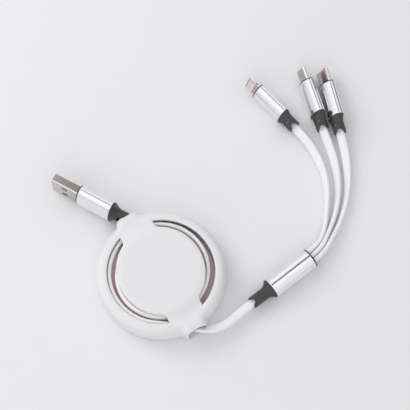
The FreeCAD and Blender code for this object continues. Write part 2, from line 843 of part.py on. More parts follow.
def eight_pin_plug():
    """Return the pieces of the eight pin plug."""
    front = eight_sleeve_length + collar_thickness
    root, tip = front - socket_depth, front + eight_reach
    width, thickness = eight_tab_width, eight_tab_thickness
    side_round = (thickness - eight_side_flat) / 2
    tab = rounded_bar(root, tip, width, thickness, side_round)
    tip_edges = []
    for edge in tab.Edges:
        at_tip = abs(edge.BoundBox.XMin - tip) + edge.BoundBox.XLength < edge_tolerance
        if at_tip and edge.BoundBox.YLength > width / 2:
            tip_edges.append(edge)
    tab = tab.makeFillet(thickness / 4, tip_edges)
    window_end = tip - eight_window_setback
    window_side = (-eight_window_width / 2, eight_window_width / 2)
    window_x = (window_end - eight_window_length, window_end)
    window = box(window_x, window_side, (-thickness, thickness))
    block = box(window_x, window_side, (-thickness / 2, thickness / 2))
    notches = []
    for side in (-1, 1):
        middle = V(tip - eight_notch_place, side * width / 2, -thickness)
        notches.append(Part.makeCylinder(eight_notch_radius, 2 * thickness, middle, UP))
    gap = 2 * fit_clearance
    socket = rounded_bar(root, front + overshoot, width + gap, thickness + gap, side_round)
    pads = {}
    pad_end = window_end - eight_pad_margin
    pad_x = (pad_end - eight_pad_length, pad_end)
    rise = thickness / 2 + eight_pad_height
    for index in range(eight_pad_count):
        middle = (index - (eight_pad_count - 1) / 2) * eight_pad_pitch
        pad_side = (middle - eight_pad_width / 2, middle + eight_pad_width / 2)
        pad = box(pad_x, pad_side, (-rise, rise))
        block = block.cut(pad)
        pads[f"pad_{index + 1}"] = pad
    pieces = {
        "sleeve": sleeve(eight_sleeve_length, eight_sleeve_width, eight_sleeve_thickness),
        "insert": insert(eight_sleeve_length, eight_sleeve_width, eight_sleeve_thickness, socket),
        "strain_relief": plug_relief(branch_relief_length, eight_sleeve_width, eight_sleeve_thickness),
        "tab": one_solid(tab.cut([window] + notches)),
        "pad_block": one_solid(block),
    }
    pieces.update(pads)
    placement = plug_placement(eight_spot, eight_sleeve_width, eight_sleeve_thickness)
    return placed(pieces, "eight_pin", placement)


def micro_outline(x, grow):
    """Return the closed outline of the micro shell, grown by a margin."""
    top, base = micro_shell_width / 2 + grow, micro_shell_base / 2 + grow
    high = micro_shell_thickness / 2 + grow
    shoulder = micro_shell_thickness / 2 - micro_shell_shoulder
    points = [V(x, -top, high), V(x, top, high), V(x, top, shoulder), V(x, base, -high)]
    points += [V(x, -base, -high), V(x, -top, shoulder)]
    return Part.Wire([line(a, b) for a, b in zip(points, points[1:] + points[:1])])


def micro_bar(start, end, grow):
    """Return a bar with the micro shell's section."""
    return Part.Face(micro_outline(start, grow)).extrude(V(end - start, 0, 0))


def micro_plug():
    """Return the pieces of the micro plug."""
    front = micro_sleeve_length + collar_thickness
    root, tip = front - socket_depth, front + micro_reach
    wall = micro_shell_wall
    shell = one_solid(micro_bar(root, tip, 0).cut(micro_bar(root, tip, -wall)))
    high = micro_shell_thickness / 2 - wall
    side = micro_shell_base / 2 - wall
    tongue = box((root, tip - 2 * wall), (-side, side), (high - micro_tongue_thickness, high))
    pieces = {
        "sleeve": sleeve(micro_sleeve_length, micro_sleeve_width, micro_sleeve_thickness),
        "insert": insert(
            micro_sleeve_length, micro_sleeve_width, micro_sleeve_thickness,
            micro_bar(root, front + overshoot, fit_clearance),
        ),
        "strain_relief": plug_relief(branch_relief_length, micro_sleeve_width, micro_sleeve_thickness),
        "shell": shell,
        "tongue": tongue,
    }
    placement = plug_placement(micro_spot, micro_sleeve_width, micro_sleeve_thickness)
    return placed(pieces, "micro", placement)


def type_c_plug():
    """Return the pieces of the type C plug."""
    front = type_c_sleeve_length + collar_thickness
    root, tip = front - socket_depth, front + type_c_reach
    wall = type_c_shell_wall
    width, thickness = type_c_shell_width, type_c_shell_thickness
    side_round = (thickness - type_c_side_flat) / 2
    outer = rounded_bar(root, tip, width, thickness, side_round)
    bore = rounded_bar(root, tip, width - 2 * wall, thickness - 2 * wall, side_round - wall)
    inside = 2 * (wall + fit_clearance)
    block = rounded_bar(root, tip - wall, width - inside, thickness - inside, side_round - inside / 2)
    mouth_half, mouth_side = type_c_mouth_height / 2, type_c_mouth_width / 2
    mouth_x = (tip - type_c_mouth_depth, tip)
    opening = box(mouth_x, (-mouth_side, mouth_side), (-mouth_half, mouth_half))
    gap = 2 * fit_clearance
    socket_end = front + overshoot
    socket = rounded_bar(root, socket_end, width + gap, thickness + gap, side_round + fit_clearance)
    pieces = {
        "sleeve": sleeve(type_c_sleeve_length, type_c_sleeve_width, type_c_sleeve_thickness),
        "insert": insert(type_c_sleeve_length, type_c_sleeve_width, type_c_sleeve_thickness, socket),
        "strain_relief": plug_relief(branch_relief_length, type_c_sleeve_width, type_c_sleeve_thickness),
        "shell": one_solid(outer.cut(bore)),
        "contact_block": one_solid(block.cut(opening)),
    }
    placement = plug_placement(type_c_spot, type_c_sleeve_width, type_c_sleeve_thickness)
    return placed(pieces, "type_c", placement)


def splitter():
    """Return the pieces of the splitter."""
    width, thickness = splitter_sleeve_width, splitter_sleeve_thickness
    gap = 2 * (sleeve_wall + fit_clearance)
    length = splitter_sleeve_length
    inset = 2 * collar_inset
    cap = oval_bar(length - splitter_cap_depth, length, width - gap, thickness - gap)
    cap = cap.fuse(oval_bar(length, length + splitter_cap_thickness, width - inset, thickness - inset))
    clearance = 2 * splitter_hole_clearance
    for index in (-1, 0, 1):
        outline = stadium(cable_width + clearance, cable_thickness + clearance)
        hole = Part.Face(outline).extrude(V(splitter_cap_depth + overshoot, 0, 0))
        hole.translate(V(length + splitter_cap_thickness - splitter_cap_depth, index * splitter_pitch, 0))
        cap = cap.cut(hole)
    relief = strain_relief(
        splitter_relief_length, width, thickness, splitter_neck, splitter_fork_turn, splitter_window_turn,
    )
    pieces = {"sleeve": sleeve(length, width, thickness), "end_cap": one_solid(cap), "strain_relief": relief}
    return placed(pieces, "splitter", splitter_placement())


def usb_placement():
    """Return where the A plug lies, behind the first ear."""
    rear = mouth_frame(ear_reach + usb_standoff, mouth_offset + usb_shift, 0)
    spot = (rear.x, rear.y, usb_heading, usb_lean)
    return plug_placement(spot, usb_sleeve_width, usb_sleeve_thickness)


def splitter_placement():
    """Return where the splitter lies."""
    return plug_placement(splitter_spot, splitter_sleeve_width, splitter_sleeve_thickness)


def relief_seat(placement):
    """Return the point where a cord ends inside a strain relief."""
    return placement.multVec(V(-relief_cap, 0, 0))


def behind_relief(placement, length):
    """Return the point on a plug's axis up to which its cord runs straight."""
    return placement.multVec(V(-length - cord_lead_out, 0, 0))


def splitter_point(index, distance):
    """Return the point on a branch hole's axis at a distance past the splitter's cap."""
    along = splitter_sleeve_length + splitter_cap_thickness + distance
    return splitter_placement().multVec(V(along, index * splitter_pitch, 0))


def branch_cord(name, spot, width, thickness, route, index):
    """Return a branch cord from its plug's strain relief to the splitter."""
    placement = plug_placement(spot, width, thickness)
    points = [relief_seat(placement), behind_relief(placement, branch_relief_length)]
    points += [V(*point) for point in route]
    points += [splitter_point(index, cap_lead_out), splitter_point(index, -splitter_cap_depth)]
    return strip_along(cord_path(points, name), name)


def mouth_point():
    """Return the point in the second mouth where the main cable bends."""
    point = mouth_frame(housing_radius - lead_mouth_depth, mouth_offset + lead_mouth_shift, 0)
    return V(-point.x, -point.y, lead_height)


def lead_bend():
    """Return the point where the cable's loose turn bends towards the second mouth."""
    tangent = polar(lead_radius, lead_end_angle, lead_height)
    return tangent + polar(lead_bend_run, lead_end_angle + 90)


def main_path():
    """Return the edges of the main cable from the end of its loose turn to the splitter."""
    placement = splitter_placement()
    points = [polar(lead_radius, lead_end_angle, lead_height), lead_bend(), mouth_point()]
    points += [V(*point) for point in main_route]
    points += [behind_relief(placement, splitter_relief_length), relief_seat(placement)]
    return cord_path(points, "main cable")


def main_lead(path):
    """Return the stretch of the main cable inside the housing, its loose turn that winds outwards."""
    center, radius, end = V(0, 0, lead_height), lead_radius, lead_end_angle
    arcs = []
    for angle, shrink in lead_lanes + ((lead_start_angle, 0),):
        points = [center + polar(radius, turn) for turn in (angle, (angle + end) / 2, end)]
        arcs.insert(0, Part.Arc(*points).toShape())
        center = center + polar(shrink, angle)
        radius, end = radius - shrink, angle
    return strip_along(arcs + path[:lead_edge_count], "main_lead")


def main_cord(path):
    """Return the free main cable from its bend in the second mouth to the splitter."""
    return strip_along(path[lead_edge_count:], "main_cord")


def usb_lead():
    """Return the short stretch of cable from the wound turns to the A plug."""
    seat = relief_seat(usb_placement())
    start = polar(lead_radius + cable_thickness + usb_lead_gap, usb_lead_angle, seat.z)
    bend = seat + polar(usb_lead_run, usb_heading + 180)
    return strip_along(cord_path([start, bend, seat], "usb_lead"), "usb_lead")


def all_parts():
    """Return every piece by its name."""
    body = housing_body()
    path = main_path()
    parts = {
        "lower_cover": lower_cover(body),
        "upper_cover": upper_cover(body),
        "cover_screw": cover_screw(),
        "reel_drum": reel_drum(),
        "reel_top_flange": reel_top_flange(),
        "spiral_spring": spiral_spring(),
        "lock_ball": lock_ball(),
        "cable_coil": cable_coil(),
        "main_lead": main_lead(path),
        "main_cord": main_cord(path),
        "usb_lead": usb_lead(),
    }
    parts.update(usb_plug())
    parts.update(splitter())
    parts.update(eight_pin_plug())
    parts.update(micro_plug())
    parts.update(type_c_plug())
    branches = (
        ("eight_pin", eight_spot, eight_sleeve_width, eight_sleeve_thickness, eight_route, -1),
        ("micro", micro_spot, micro_sleeve_width, micro_sleeve_thickness, micro_route, 0),
        ("type_c", type_c_spot, type_c_sleeve_width, type_c_sleeve_thickness, type_c_route, 1),
    )
    for name, spot, width, thickness, route, index in branches:
        parts[f"{name}_cord"] = branch_cord(f"{name}_cord", spot, width, thickness, route, index)
    return parts


def main():
    """Build every piece and write it to its own file."""
    os.makedirs("parts", exist_ok=True)
    for name, shape in all_parts().items():
        if not shape.isValid():
            raise ValueError(f"{name} is not a valid solid")
        shape.exportStep(f"parts/{name}.step")


main()
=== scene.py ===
"""Retractable charging cable with three branch plugs, dressed and lit on a pale table.

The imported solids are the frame. The housing, the plugs and the wound cable get finished surfaces,
the free cords become smooth flat curves, and every surface gets a material of its own.
"""
import logging
import math
from dataclasses import dataclass
from enum import Enum
from functools import cache
from typing import Callable, ClassVar, Iterable, Sequence

import bmesh
import bpy
from mathutils import Matrix, Vector


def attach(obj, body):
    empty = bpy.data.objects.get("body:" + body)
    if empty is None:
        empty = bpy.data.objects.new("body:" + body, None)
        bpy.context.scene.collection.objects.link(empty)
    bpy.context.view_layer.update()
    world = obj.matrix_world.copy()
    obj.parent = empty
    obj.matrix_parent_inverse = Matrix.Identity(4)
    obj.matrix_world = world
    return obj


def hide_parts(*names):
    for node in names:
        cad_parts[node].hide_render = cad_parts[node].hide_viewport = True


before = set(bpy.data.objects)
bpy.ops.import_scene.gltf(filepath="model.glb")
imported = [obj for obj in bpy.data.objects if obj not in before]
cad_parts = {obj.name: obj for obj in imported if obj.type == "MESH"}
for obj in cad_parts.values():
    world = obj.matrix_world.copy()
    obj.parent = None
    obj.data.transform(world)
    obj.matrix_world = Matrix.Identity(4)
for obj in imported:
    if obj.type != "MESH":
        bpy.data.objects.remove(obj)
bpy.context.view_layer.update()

MM = 0.001
FULL_TURN = 360.0
HOUSING = "housing"
REEL = "reel"

Pair = tuple[float, float]
Point = tuple[float, float, float]
Colour = tuple[float, float, float]
Rounding = tuple[float, int]
Piece = bpy.types.Object
Socket = bpy.types.NodeSocket
Node = bpy.types.Node
EdgeTest = Callable[[bmesh.types.BMEdge], bool]

logging.basicConfig(level=logging.INFO, format="%(message)s")
LOG = logging.getLogger("charging_cable")


def polar(radius: float, angle: float) -> Pair:
    """Return the place at a radius and an angle in degrees."""
    turn = math.radians(angle)
    return radius * math.cos(turn), radius * math.sin(turn)


def runs_along(axis: str) -> EdgeTest:
    """Return a test for edges that run more than a millimetre along an axis."""
    return lambda edge: abs(getattr(edge.verts[0].co - edge.verts[1].co, axis)) > MM


def lies_at_end(x: float, slack: float = 0.01) -> EdgeTest:
    """Return a test for edges at a piece's far end, whose X is in millimetres."""
    return lambda edge: min(vert.co.x for vert in edge.verts) > (x - slack) * MM


class Pick(Enum):
    """What kind of mesh element a selection takes."""

    VERTS = "VERT"
    EDGES = "EDGE"
    FACES = "FACE"


class Bench:
    """Hand tools shared by all pieces: take, select, cut and finish."""

    FACE_WEIGHT: ClassVar[int] = 60

    @staticmethod
    def clear() -> None:
        """Leave edit mode and let go of everything."""
        if bpy.context.mode != "OBJECT":
            bpy.ops.object.mode_set(mode="OBJECT")
        bpy.ops.object.select_all(action="DESELECT")

    @staticmethod
    def take(piece: Piece) -> None:
        """Make one piece the only selected and the active one."""
        Bench.clear()
        piece.select_set(True)
        bpy.context.view_layer.objects.active = piece

    @staticmethod
    def put(name: str, data: bpy.types.ID) -> Piece:
        """Return a new object in the scene that shows a mesh, curve, lamp or camera."""
        piece = bpy.data.objects.new(name, data)
        bpy.context.scene.collection.objects.link(piece)
        return piece

    @staticmethod
    def open(piece: Piece, kind: Pick, whole: bool = False) -> None:
        """Go into edit mode on a piece, with all or nothing of it selected."""
        Bench.take(piece)
        bpy.ops.object.mode_set(mode="EDIT")
        bpy.ops.mesh.select_mode(type=kind.value)
        bpy.ops.mesh.select_all(action="SELECT" if whole else "DESELECT")

    @staticmethod
    def choose(piece: Piece, kind: Pick, test: Callable[[object], bool]) -> None:
        """Go into edit mode on a piece and select what passes a test.

        Args:
            piece: The piece that is opened.
            kind: The kind of element that is looked at.
            test: Called with each element.
        """
        Bench.open(piece, kind)
        shape = bmesh.from_edit_mesh(piece.data)
        for element in getattr(shape, kind.name.lower()):
            element.select_set(test(element))
        bmesh.update_edit_mesh(piece.data)

    @staticmethod
    def round_edges(piece: Piece, test: EdgeTest, rounding: Rounding) -> None:
        """Round the edges that pass a test.

        Args:
            piece: The piece that is shaped.
            test: Called with each edge.
            rounding: How far the rounding reaches, in millimetres, and how many faces it has.
        """
        radius, steps = rounding
        Bench.choose(piece, Pick.EDGES, test)
        bpy.ops.mesh.bevel(offset=radius * MM, segments=steps, affect="EDGES")
        Bench.clear()

    @staticmethod
    def apply(piece: Piece, kind: str, **settings: object) -> None:
        """Add a modifier to a piece and apply it.

        Args:
            piece: The piece that is shaped.
            kind: The modifier's type name.
            **settings: Values set on the modifier.
        """
        modifier = piece.modifiers.new(kind.title(), kind)
        for name, value in settings.items():
            setattr(modifier, name, value)
        Bench.take(piece)
        bpy.ops.object.modifier_apply(modifier=modifier.name)

    @staticmethod
    def cut(piece: Piece, cutters: Iterable[Piece]) -> None:
        """Cut each cutter out of a piece, remove the cutter and mend the faces."""
        for cutter in cutters:
            Bench.apply(piece, "BOOLEAN", operation="DIFFERENCE", solver="EXACT", object=cutter)
            bpy.data.objects.remove(cutter)
        Bench.weld(piece)

    @staticmethod
    def soften(piece: Piece, width: float, angle: float) -> None:
        """Break the edges above an angle in degrees by a width in millimetres."""
        Bench.apply(piece, "BEVEL", width=width * MM, segments=2, limit_method="ANGLE",
                    angle_limit=math.radians(angle))

    @staticmethod
    def block(name: str, low: Sequence[float], high: Sequence[float]) -> Piece:
        """Return a box between two corners given in millimetres."""
        Bench.clear()
        middle = [(a + b) / 2 * MM for a, b in zip(low, high)]
        size = [(b - a) * MM for a, b in zip(low, high)]
        bpy.ops.mesh.primitive_cube_add(size=1.0, location=middle)
        piece = bpy.context.object
        piece.name = name
        piece.scale = size
        bpy.ops.object.transform_apply()
        return piece

    @staticmethod
    def weld(piece: Piece, gap: float = 1e-7, outward: bool = True) -> None:
        """Merge points closer than a gap in metres, and turn the faces outwards."""
        Bench.open(piece, Pick.VERTS, whole=True)
        bpy.ops.mesh.remove_doubles(threshold=gap)
        if outward:
            bpy.ops.mesh.normals_make_consistent(inside=False)
        Bench.clear()

    @staticmethod
    def smooth(piece: Piece, angle: float) -> None:
        """Shade a piece smooth, with its sharp edges kept and its flat faces flat."""
        Bench.take(piece)
        bpy.ops.object.shade_smooth_by_angle(angle=math.radians(angle))
        Bench.apply(piece, "WEIGHTED_NORMAL", keep_sharp=True, weight=Bench.FACE_WEIGHT)

    @staticmethod
    def settle(piece: Piece, place: Matrix) -> None:
        """Move a piece to its place, in its mesh."""
        piece.matrix_world = place
        Bench.take(piece)
        bpy.ops.object.transform_apply()

    @staticmethod
    def spin(piece: Piece, angle: float) -> None:
        """Turn a piece about X by an angle in degrees, in its mesh."""
        Bench.settle(piece, Matrix.Rotation(math.radians(angle), 4, "X"))


class Nodes:
    """A short way to lay out the nodes of one material or group."""

    STEP: ClassVar[int] = 190

    def __init__(self, tree: bpy.types.NodeTree) -> None:
        """Start on a tree, with nothing placed."""
        self.tree = tree
        self.column = 0

    def feed(self, target: Socket, value: object) -> None:
        """Join a socket to an input, or set the input's value."""
        if isinstance(value, Socket):
            self.tree.links.new(value, target)
        else:
            target.default_value = value

    def add(self, kind: str, *sources: object, **values: object) -> Node:
        """Return a new node.

        Args:
            kind: The node's type name.
            *sources: Sockets or values for its inputs, in their order.
            **values: The same by name, with underscores for spaces, or properties of the node.

        Returns:
            The node, with its inputs fed.
        """
        node = self.tree.nodes.new(kind)
        node.location = (self.column * self.STEP, 0)
        self.column += 1
        for name, value in values.items():
            title = name.replace("_", " ")
            if title in node.inputs:
                self.feed(node.inputs[title], value)
            else:
                setattr(node, name, value)
        for target, value in zip(node.inputs, sources):
            self.feed(target, value)
        return node

    def ramp(self, value: Socket, stops: Sequence[tuple[float, Colour]]) -> Socket:
        """Return the colour of a value on a ramp.

        Args:
            value: The socket that is looked up.
            stops: Places from 0 to 1 with their colours.

        Returns:
            The colour socket.
        """
        node = self.add("ShaderNodeValToRGB", value)
        elements = node.color_ramp.elements
        while len(elements) < len(stops):
            elements.new(0.5)
        for element, (place, colour) in zip(elements, stops):
            element.position = place
            element.color = (*colour, 1.0)
        return node.outputs["Color"]

    def noise(self, place: Socket, scale: object, **values: object) -> Socket:
        """Return soft noise over a place, at a scale that is a number or a socket."""
        return self.add("ShaderNodeTexNoise", Vector=place, Scale=scale, **values).outputs["Fac"]

    def mapped(self, value: Socket, source: Pair = (0.0, 1.0), target: Pair = (0.0, 1.0)) -> Socket:
        """Return a value brought from one span to another."""
        return self.add("ShaderNodeMapRange", value, *source, *target).outputs["Result"]


class Effects:
    """Shader node groups that several finishes share."""

    COARSE_SHARE: ClassVar[float] = 0.37

    @staticmethod
    def _group(name: str, inputs: dict[str, float], outputs: Sequence[str]) -> Nodes:
        """Return the nodes of a new group.

        Args:
            name: The group's name.
            inputs: Its number inputs and their values, which follow a vector input.
            outputs: Its number outputs.

        Returns:
            The nodes, with nothing placed.
        """
        tree = bpy.data.node_groups.new(name, "ShaderNodeTree")
        tree.interface.new_socket("Vector", in_out="INPUT", socket_type="NodeSocketVector")
        for title, value in inputs.items():
            socket = tree.interface.new_socket(title, in_out="INPUT", socket_type="NodeSocketFloat")
            socket.default_value = value
        for title in outputs:
            tree.interface.new_socket(title, in_out="OUTPUT", socket_type="NodeSocketFloat")
        return Nodes(tree)

    @staticmethod
    @cache
    def grain() -> bpy.types.NodeTree:
        """Return the group of fine moulded grain with soft blotches.

        Returns:
            A group with the outputs Height, for bump, and Blotch, a mask from 0 to 1.
        """
        inputs = {"Fine": 5200.0, "Broad": 90.0}
        nodes = Effects._group("moulded_grain", inputs, ("Height", "Blotch"))
        place, size, wide = nodes.add("NodeGroupInput").outputs[:3]
        share = nodes.add("ShaderNodeMath", size, Effects.COARSE_SHARE, operation="MULTIPLY")
        fine = nodes.noise(place, size, Detail=3.0, Roughness=0.6)
        coarse = nodes.noise(place, share.outputs[0], Detail=2.0, Roughness=0.5)
        broad = nodes.noise(place, wide, Detail=5.0, Roughness=0.62)
        height = nodes.add("ShaderNodeMath", fine, coarse, operation="MULTIPLY")
        nodes.add("NodeGroupOutput", height.outputs[0], nodes.mapped(broad, (0.32, 0.68)))
        return nodes.tree

    @staticmethod
    @cache
    def brushing() -> bpy.types.NodeTree:
        """Return the group of fine lines along X, as brushing leaves them on metal.

        Returns:
            A group with the outputs Lines, for bump and gloss, and Cloud, a slow mask from 0 to 1.
        """
        inputs = {"Across": 4200.0, "Along": 60.0}
        nodes = Effects._group("brushed_lines", inputs, ("Lines", "Cloud"))
        place, across, along = nodes.add("NodeGroupInput").outputs[:3]
        stretch = nodes.add("ShaderNodeCombineXYZ", along, across, across).outputs[0]
        scaled = nodes.add("ShaderNodeVectorMath", place, stretch, operation="MULTIPLY")
        lines = nodes.noise(scaled.outputs[0], 1.0, Detail=4.0, Roughness=0.7)
        cloud = nodes.noise(place, 140.0, Detail=3.0)
        nodes.add("NodeGroupOutput", lines, nodes.mapped(cloud, (0.3, 0.7)))
        return nodes.tree


@dataclass(frozen=True)
class Finish:
    """A surface between two colours, with its least and greatest roughness."""

    name: str
    light: Colour
    dark: Colour
    rough: Pair

    def material(self) -> bpy.types.Material:
        """Return the material of this finish, made at its first use."""
        title = f"{self.name}_finish"
        if title in bpy.data.materials:
            return bpy.data.materials[title]
        material = bpy.data.materials.new(title)
        material.use_nodes = True
        tree = material.node_tree
        self.lay_out(Nodes(tree), tree.nodes["Principled BSDF"])
        return material

    def lay_out(self, nodes: Nodes, shader: Node) -> None:
        """Lay out the nodes of the material in front of its shader."""
        raise NotImplementedError

    def join(self, nodes: Nodes, shader: Node, colour: Socket, gloss: Socket,
             relief: tuple[Socket, float, float]) -> None:
        """Join colour, gloss and fine relief to the shader.

        Args:
            nodes: The material's nodes.
            shader: The material's shader.
            colour: The colour over the surface.
            gloss: The mask that sets the roughness.
            relief: The height over the surface, its strength and its depth in millimetres.
        """
        height, strength, depth = relief
        bump = nodes.add("ShaderNodeBump", strength, depth * MM, Height=height)
        nodes.feed(shader.inputs["Base Color"], colour)
        nodes.feed(shader.inputs["Roughness"], nodes.mapped(gloss, target=self.rough))
        nodes.feed(shader.inputs["Normal"], bump.outputs["Normal"])


@dataclass(frozen=True)
class Moulded(Finish):
    """A moulded plastic or rubber finish with fine grain and soft blotches."""

    DEPTH: ClassVar[float] = 0.05

    grain_size: float = 5200.0
    grain_depth: float = 0.05
    specular: float = 0.5

    def lay_out(self, nodes: Nodes, shader: Node) -> None:
        """Lay out the grain, with colour and gloss from its blotches."""
        shader.inputs["Specular IOR Level"].default_value = self.specular
        place = nodes.add("ShaderNodeTexCoord").outputs["Object"]
        grain = nodes.add("ShaderNodeGroup", place, self.grain_size, node_tree=Effects.grain())
        blotch = grain.outputs["Blotch"]
        colour = nodes.ramp(blotch, ((0.0, self.dark), (1.0, self.light)))
        relief = (grain.outputs["Height"], self.grain_depth, self.DEPTH)
        self.join(nodes, shader, colour, blotch, relief)


@dataclass(frozen=True)
class Metal(Finish):
    """A plated or brushed metal finish whose fine lines follow the piece."""

    DEPTH: ClassVar[float] = 0.02

    line_depth: float = 0.06
    across: float = 4200.0
    along: float = 60.0
    turn: Point = (0.0, 0.0, 0.0)
    middle: Point = (0.0, 0.0, 0.0)

    def colour(self, nodes: Nodes, place: Socket, cloud: Socket) -> Socket:
        """Return the colour over the surface.

        Args:
            nodes: The material's nodes.
            place: The piece's own coordinates.
            cloud: A slow mask from 0 to 1.

        Returns:
            The colour socket.
        """
        return nodes.ramp(cloud, ((0.0, self.dark), (1.0, self.light)))

    def lay_out(self, nodes: Nodes, shader: Node) -> None:
        """Lay out the lines, with gloss and relief from them."""
        shader.inputs["Metallic"].default_value = 1.0
        place = nodes.add("ShaderNodeTexCoord").outputs["Object"]
        own = nodes.add("ShaderNodeMapping", place, self.middle, self.turn,
                        vector_type="TEXTURE").outputs["Vector"]
        brushed = nodes.add("ShaderNodeGroup", own, self.across, self.along,
                            node_tree=Effects.brushing())
        lines = brushed.outputs["Lines"]
        colour = self.colour(nodes, own, brushed.outputs["Cloud"])
        self.join(nodes, shader, colour, lines, (lines, self.line_depth, self.DEPTH))


@dataclass(frozen=True)
class Plating(Metal):
    """Plated steel with brushed broad faces, and sides that carry a painted highlight behind a
    painted dark reflection line.

    The sides lie between two distances from the middle, in millimetres, and the line between two
    shares of that span.
    """

    LINE_FADES: ClassVar[Pair] = (0.08, 0.2)
    SIDE_FADE: ClassVar[float] = 0.1

    # Painted light: a painted highlight colour for the sides and a painted dark reflection line,
    # standing in for reflections.
    side: Colour = (0.9, 0.9, 0.9)
    line: Colour = (0.2, 0.19, 0.19)
    side_span: Pair = (1.0, 2.0)
    line_span: Pair = (0.1, 0.4)

    def colour(self, nodes: Nodes, place: Socket, cloud: Socket) -> Socket:
        """Return the brushed colour, and on the sides the painted dark reflection line and the
        painted highlight.
        """
        broad = super().colour(nodes, place, cloud)
        split = nodes.add("ShaderNodeSeparateXYZ", place)
        across = nodes.add("ShaderNodeMath", split.outputs["Y"], operation="ABSOLUTE")
        inner, outer = self.side_span
        share = nodes.mapped(across.outputs[0], (inner * MM, outer * MM))
        start, end = self.line_span
        # Painted dark reflection line and painted highlight across the sides' rounding.
        rounded = nodes.ramp(share, ((start - self.LINE_FADES[0], self.side), (start, self.line),
                                     (end, self.line), (end + self.LINE_FADES[1], self.side)))
        mask = nodes.ramp(share, ((0.0, (0.0, 0.0, 0.0)), (self.SIDE_FADE, (1.0, 1.0, 1.0))))
        # A mix node has sockets of one name for each kind of data, so these go by number.
        mix = nodes.add("ShaderNodeMix", data_type="RGBA")
        for index, source in ((0, mask), (6, broad), (7, rounded)):
            nodes.feed(mix.inputs[index], source)
        return mix.outputs[2]


WHITE_SHELL = Moulded("housing_white", (0.825, 0.825, 0.835), (0.81, 0.81, 0.82), (0.42, 0.50),
                      4200.0, 0.03)
REEL_PLASTIC = Moulded("reel_plastic", (0.90, 0.76, 0.75), (0.85, 0.71, 0.70), (0.45, 0.55))
JACKET = Moulded("cable_white", (0.92, 0.91, 0.925), (0.905, 0.895, 0.91), (0.38, 0.48),
                 7000.0, 0.015)
# The wound turns use the white cable's colour made brighter and warmer: painted light that offsets
# the shade in the housing's slots.
WOUND_JACKET_PAINTED_LIGHT = Moulded("cable_painted_light", (0.98, 0.955, 0.93), (0.965, 0.94, 0.915), (0.45, 0.55),
                       7000.0, 0.015)
BLACK_CORE = Moulded("insert_black", (0.040, 0.040, 0.042), (0.030, 0.030, 0.031), (0.38, 0.5))
BLACK_RUBBER = Moulded("relief_black", (0.050, 0.050, 0.052), (0.042, 0.042, 0.043), (0.34, 0.42),
                       3800.0, 0.03)
DARK_TONGUE = Moulded("tongue_plastic", (0.10, 0.10, 0.105), (0.08, 0.08, 0.085), (0.4, 0.5))
PALE_BLOCK = Moulded("pad_block_white", (0.80, 0.80, 0.79), (0.76, 0.76, 0.75), (0.35, 0.45))
TABLE_PAPER = Moulded("table_paper", (0.855, 0.855, 0.86), (0.845, 0.845, 0.85), (0.7, 0.8),
                      900.0, 0.01, 0.2)
SPRING_STEEL = Metal("spring_steel", (0.55, 0.55, 0.56), (0.48, 0.48, 0.49), (0.25, 0.4))
SCREW_STEEL = Metal("screw_steel", (0.62, 0.62, 0.63), (0.52, 0.52, 0.53), (0.25, 0.42))
BALL_STEEL = Metal("ball_steel", (0.75, 0.75, 0.76), (0.68, 0.68, 0.69), (0.1, 0.2))
CONTACT_GOLD = Metal("contact_gold", (0.82, 0.69, 0.50), (0.76, 0.63, 0.45), (0.22, 0.36))


@dataclass(frozen=True)
class Lie:
    """Where a plug lies: its sleeve's rear in millimetres, its heading and lean in degrees."""

    x: float
    y: float
    z: float
    heading: float
    lean: float

    def matrix(self) -> Matrix:
        """Return the placement, from plug coordinates in metres."""
        heading = Matrix.Rotation(math.radians(self.heading), 4, "Z")
        lean = Matrix.Rotation(math.radians(self.lean), 4, "X")
        return Matrix.Translation(self.place()) @ heading @ lean

    def turn(self) -> Point:
        """Return the placement's turn as angles in radians."""
        return tuple(self.matrix().to_euler())

    def place(self) -> Point:
        """Return the place of the sleeve's rear in metres."""
        return (self.x * MM, self.y * MM, self.z * MM)


@dataclass(frozen=True)
class Oval:
    """An oval of four tangent arcs, in millimetres."""

    ROUND: ClassVar[float] = 1e-6

    width: float
    thickness: float
    end_share: float = 0.74

    def radius_at(self, angle: float) -> float:
        """Return how far the oval's edge is from its middle at an angle from its width."""
        half = self.thickness / 2
        end = self.end_share * half
        reach = self.width / 2 - end
        if reach < self.ROUND:
            return half
        side = (reach ** 2 + half ** 2 - end ** 2) / (2 * (half - end))
        drop = side - half
        slope = math.atan2(drop, reach)
        limit = math.atan2(end * math.sin(slope), reach + end * math.cos(slope))
        c, s = abs(math.cos(angle)), abs(math.sin(angle))
        if math.atan2(s, c) < limit:
            return reach * c + math.sqrt(max(end ** 2 - (reach * s) ** 2, 0.0))
        return math.sqrt((drop * s) ** 2 - drop ** 2 + side ** 2) - drop * s

    def grown(self, margin: float) -> "Oval":
        """Return the oval with a margin added all round."""
        return Oval(self.width + 2 * margin, self.thickness + 2 * margin, self.end_share)

    def towards(self, other: "Oval", share: float) -> "Oval":
        """Return the oval that lies a share of the way to another one."""
        width = self.width + (other.width - self.width) * share
        thickness = self.thickness + (other.thickness - self.thickness) * share
        return Oval(width, thickness, self.end_share)


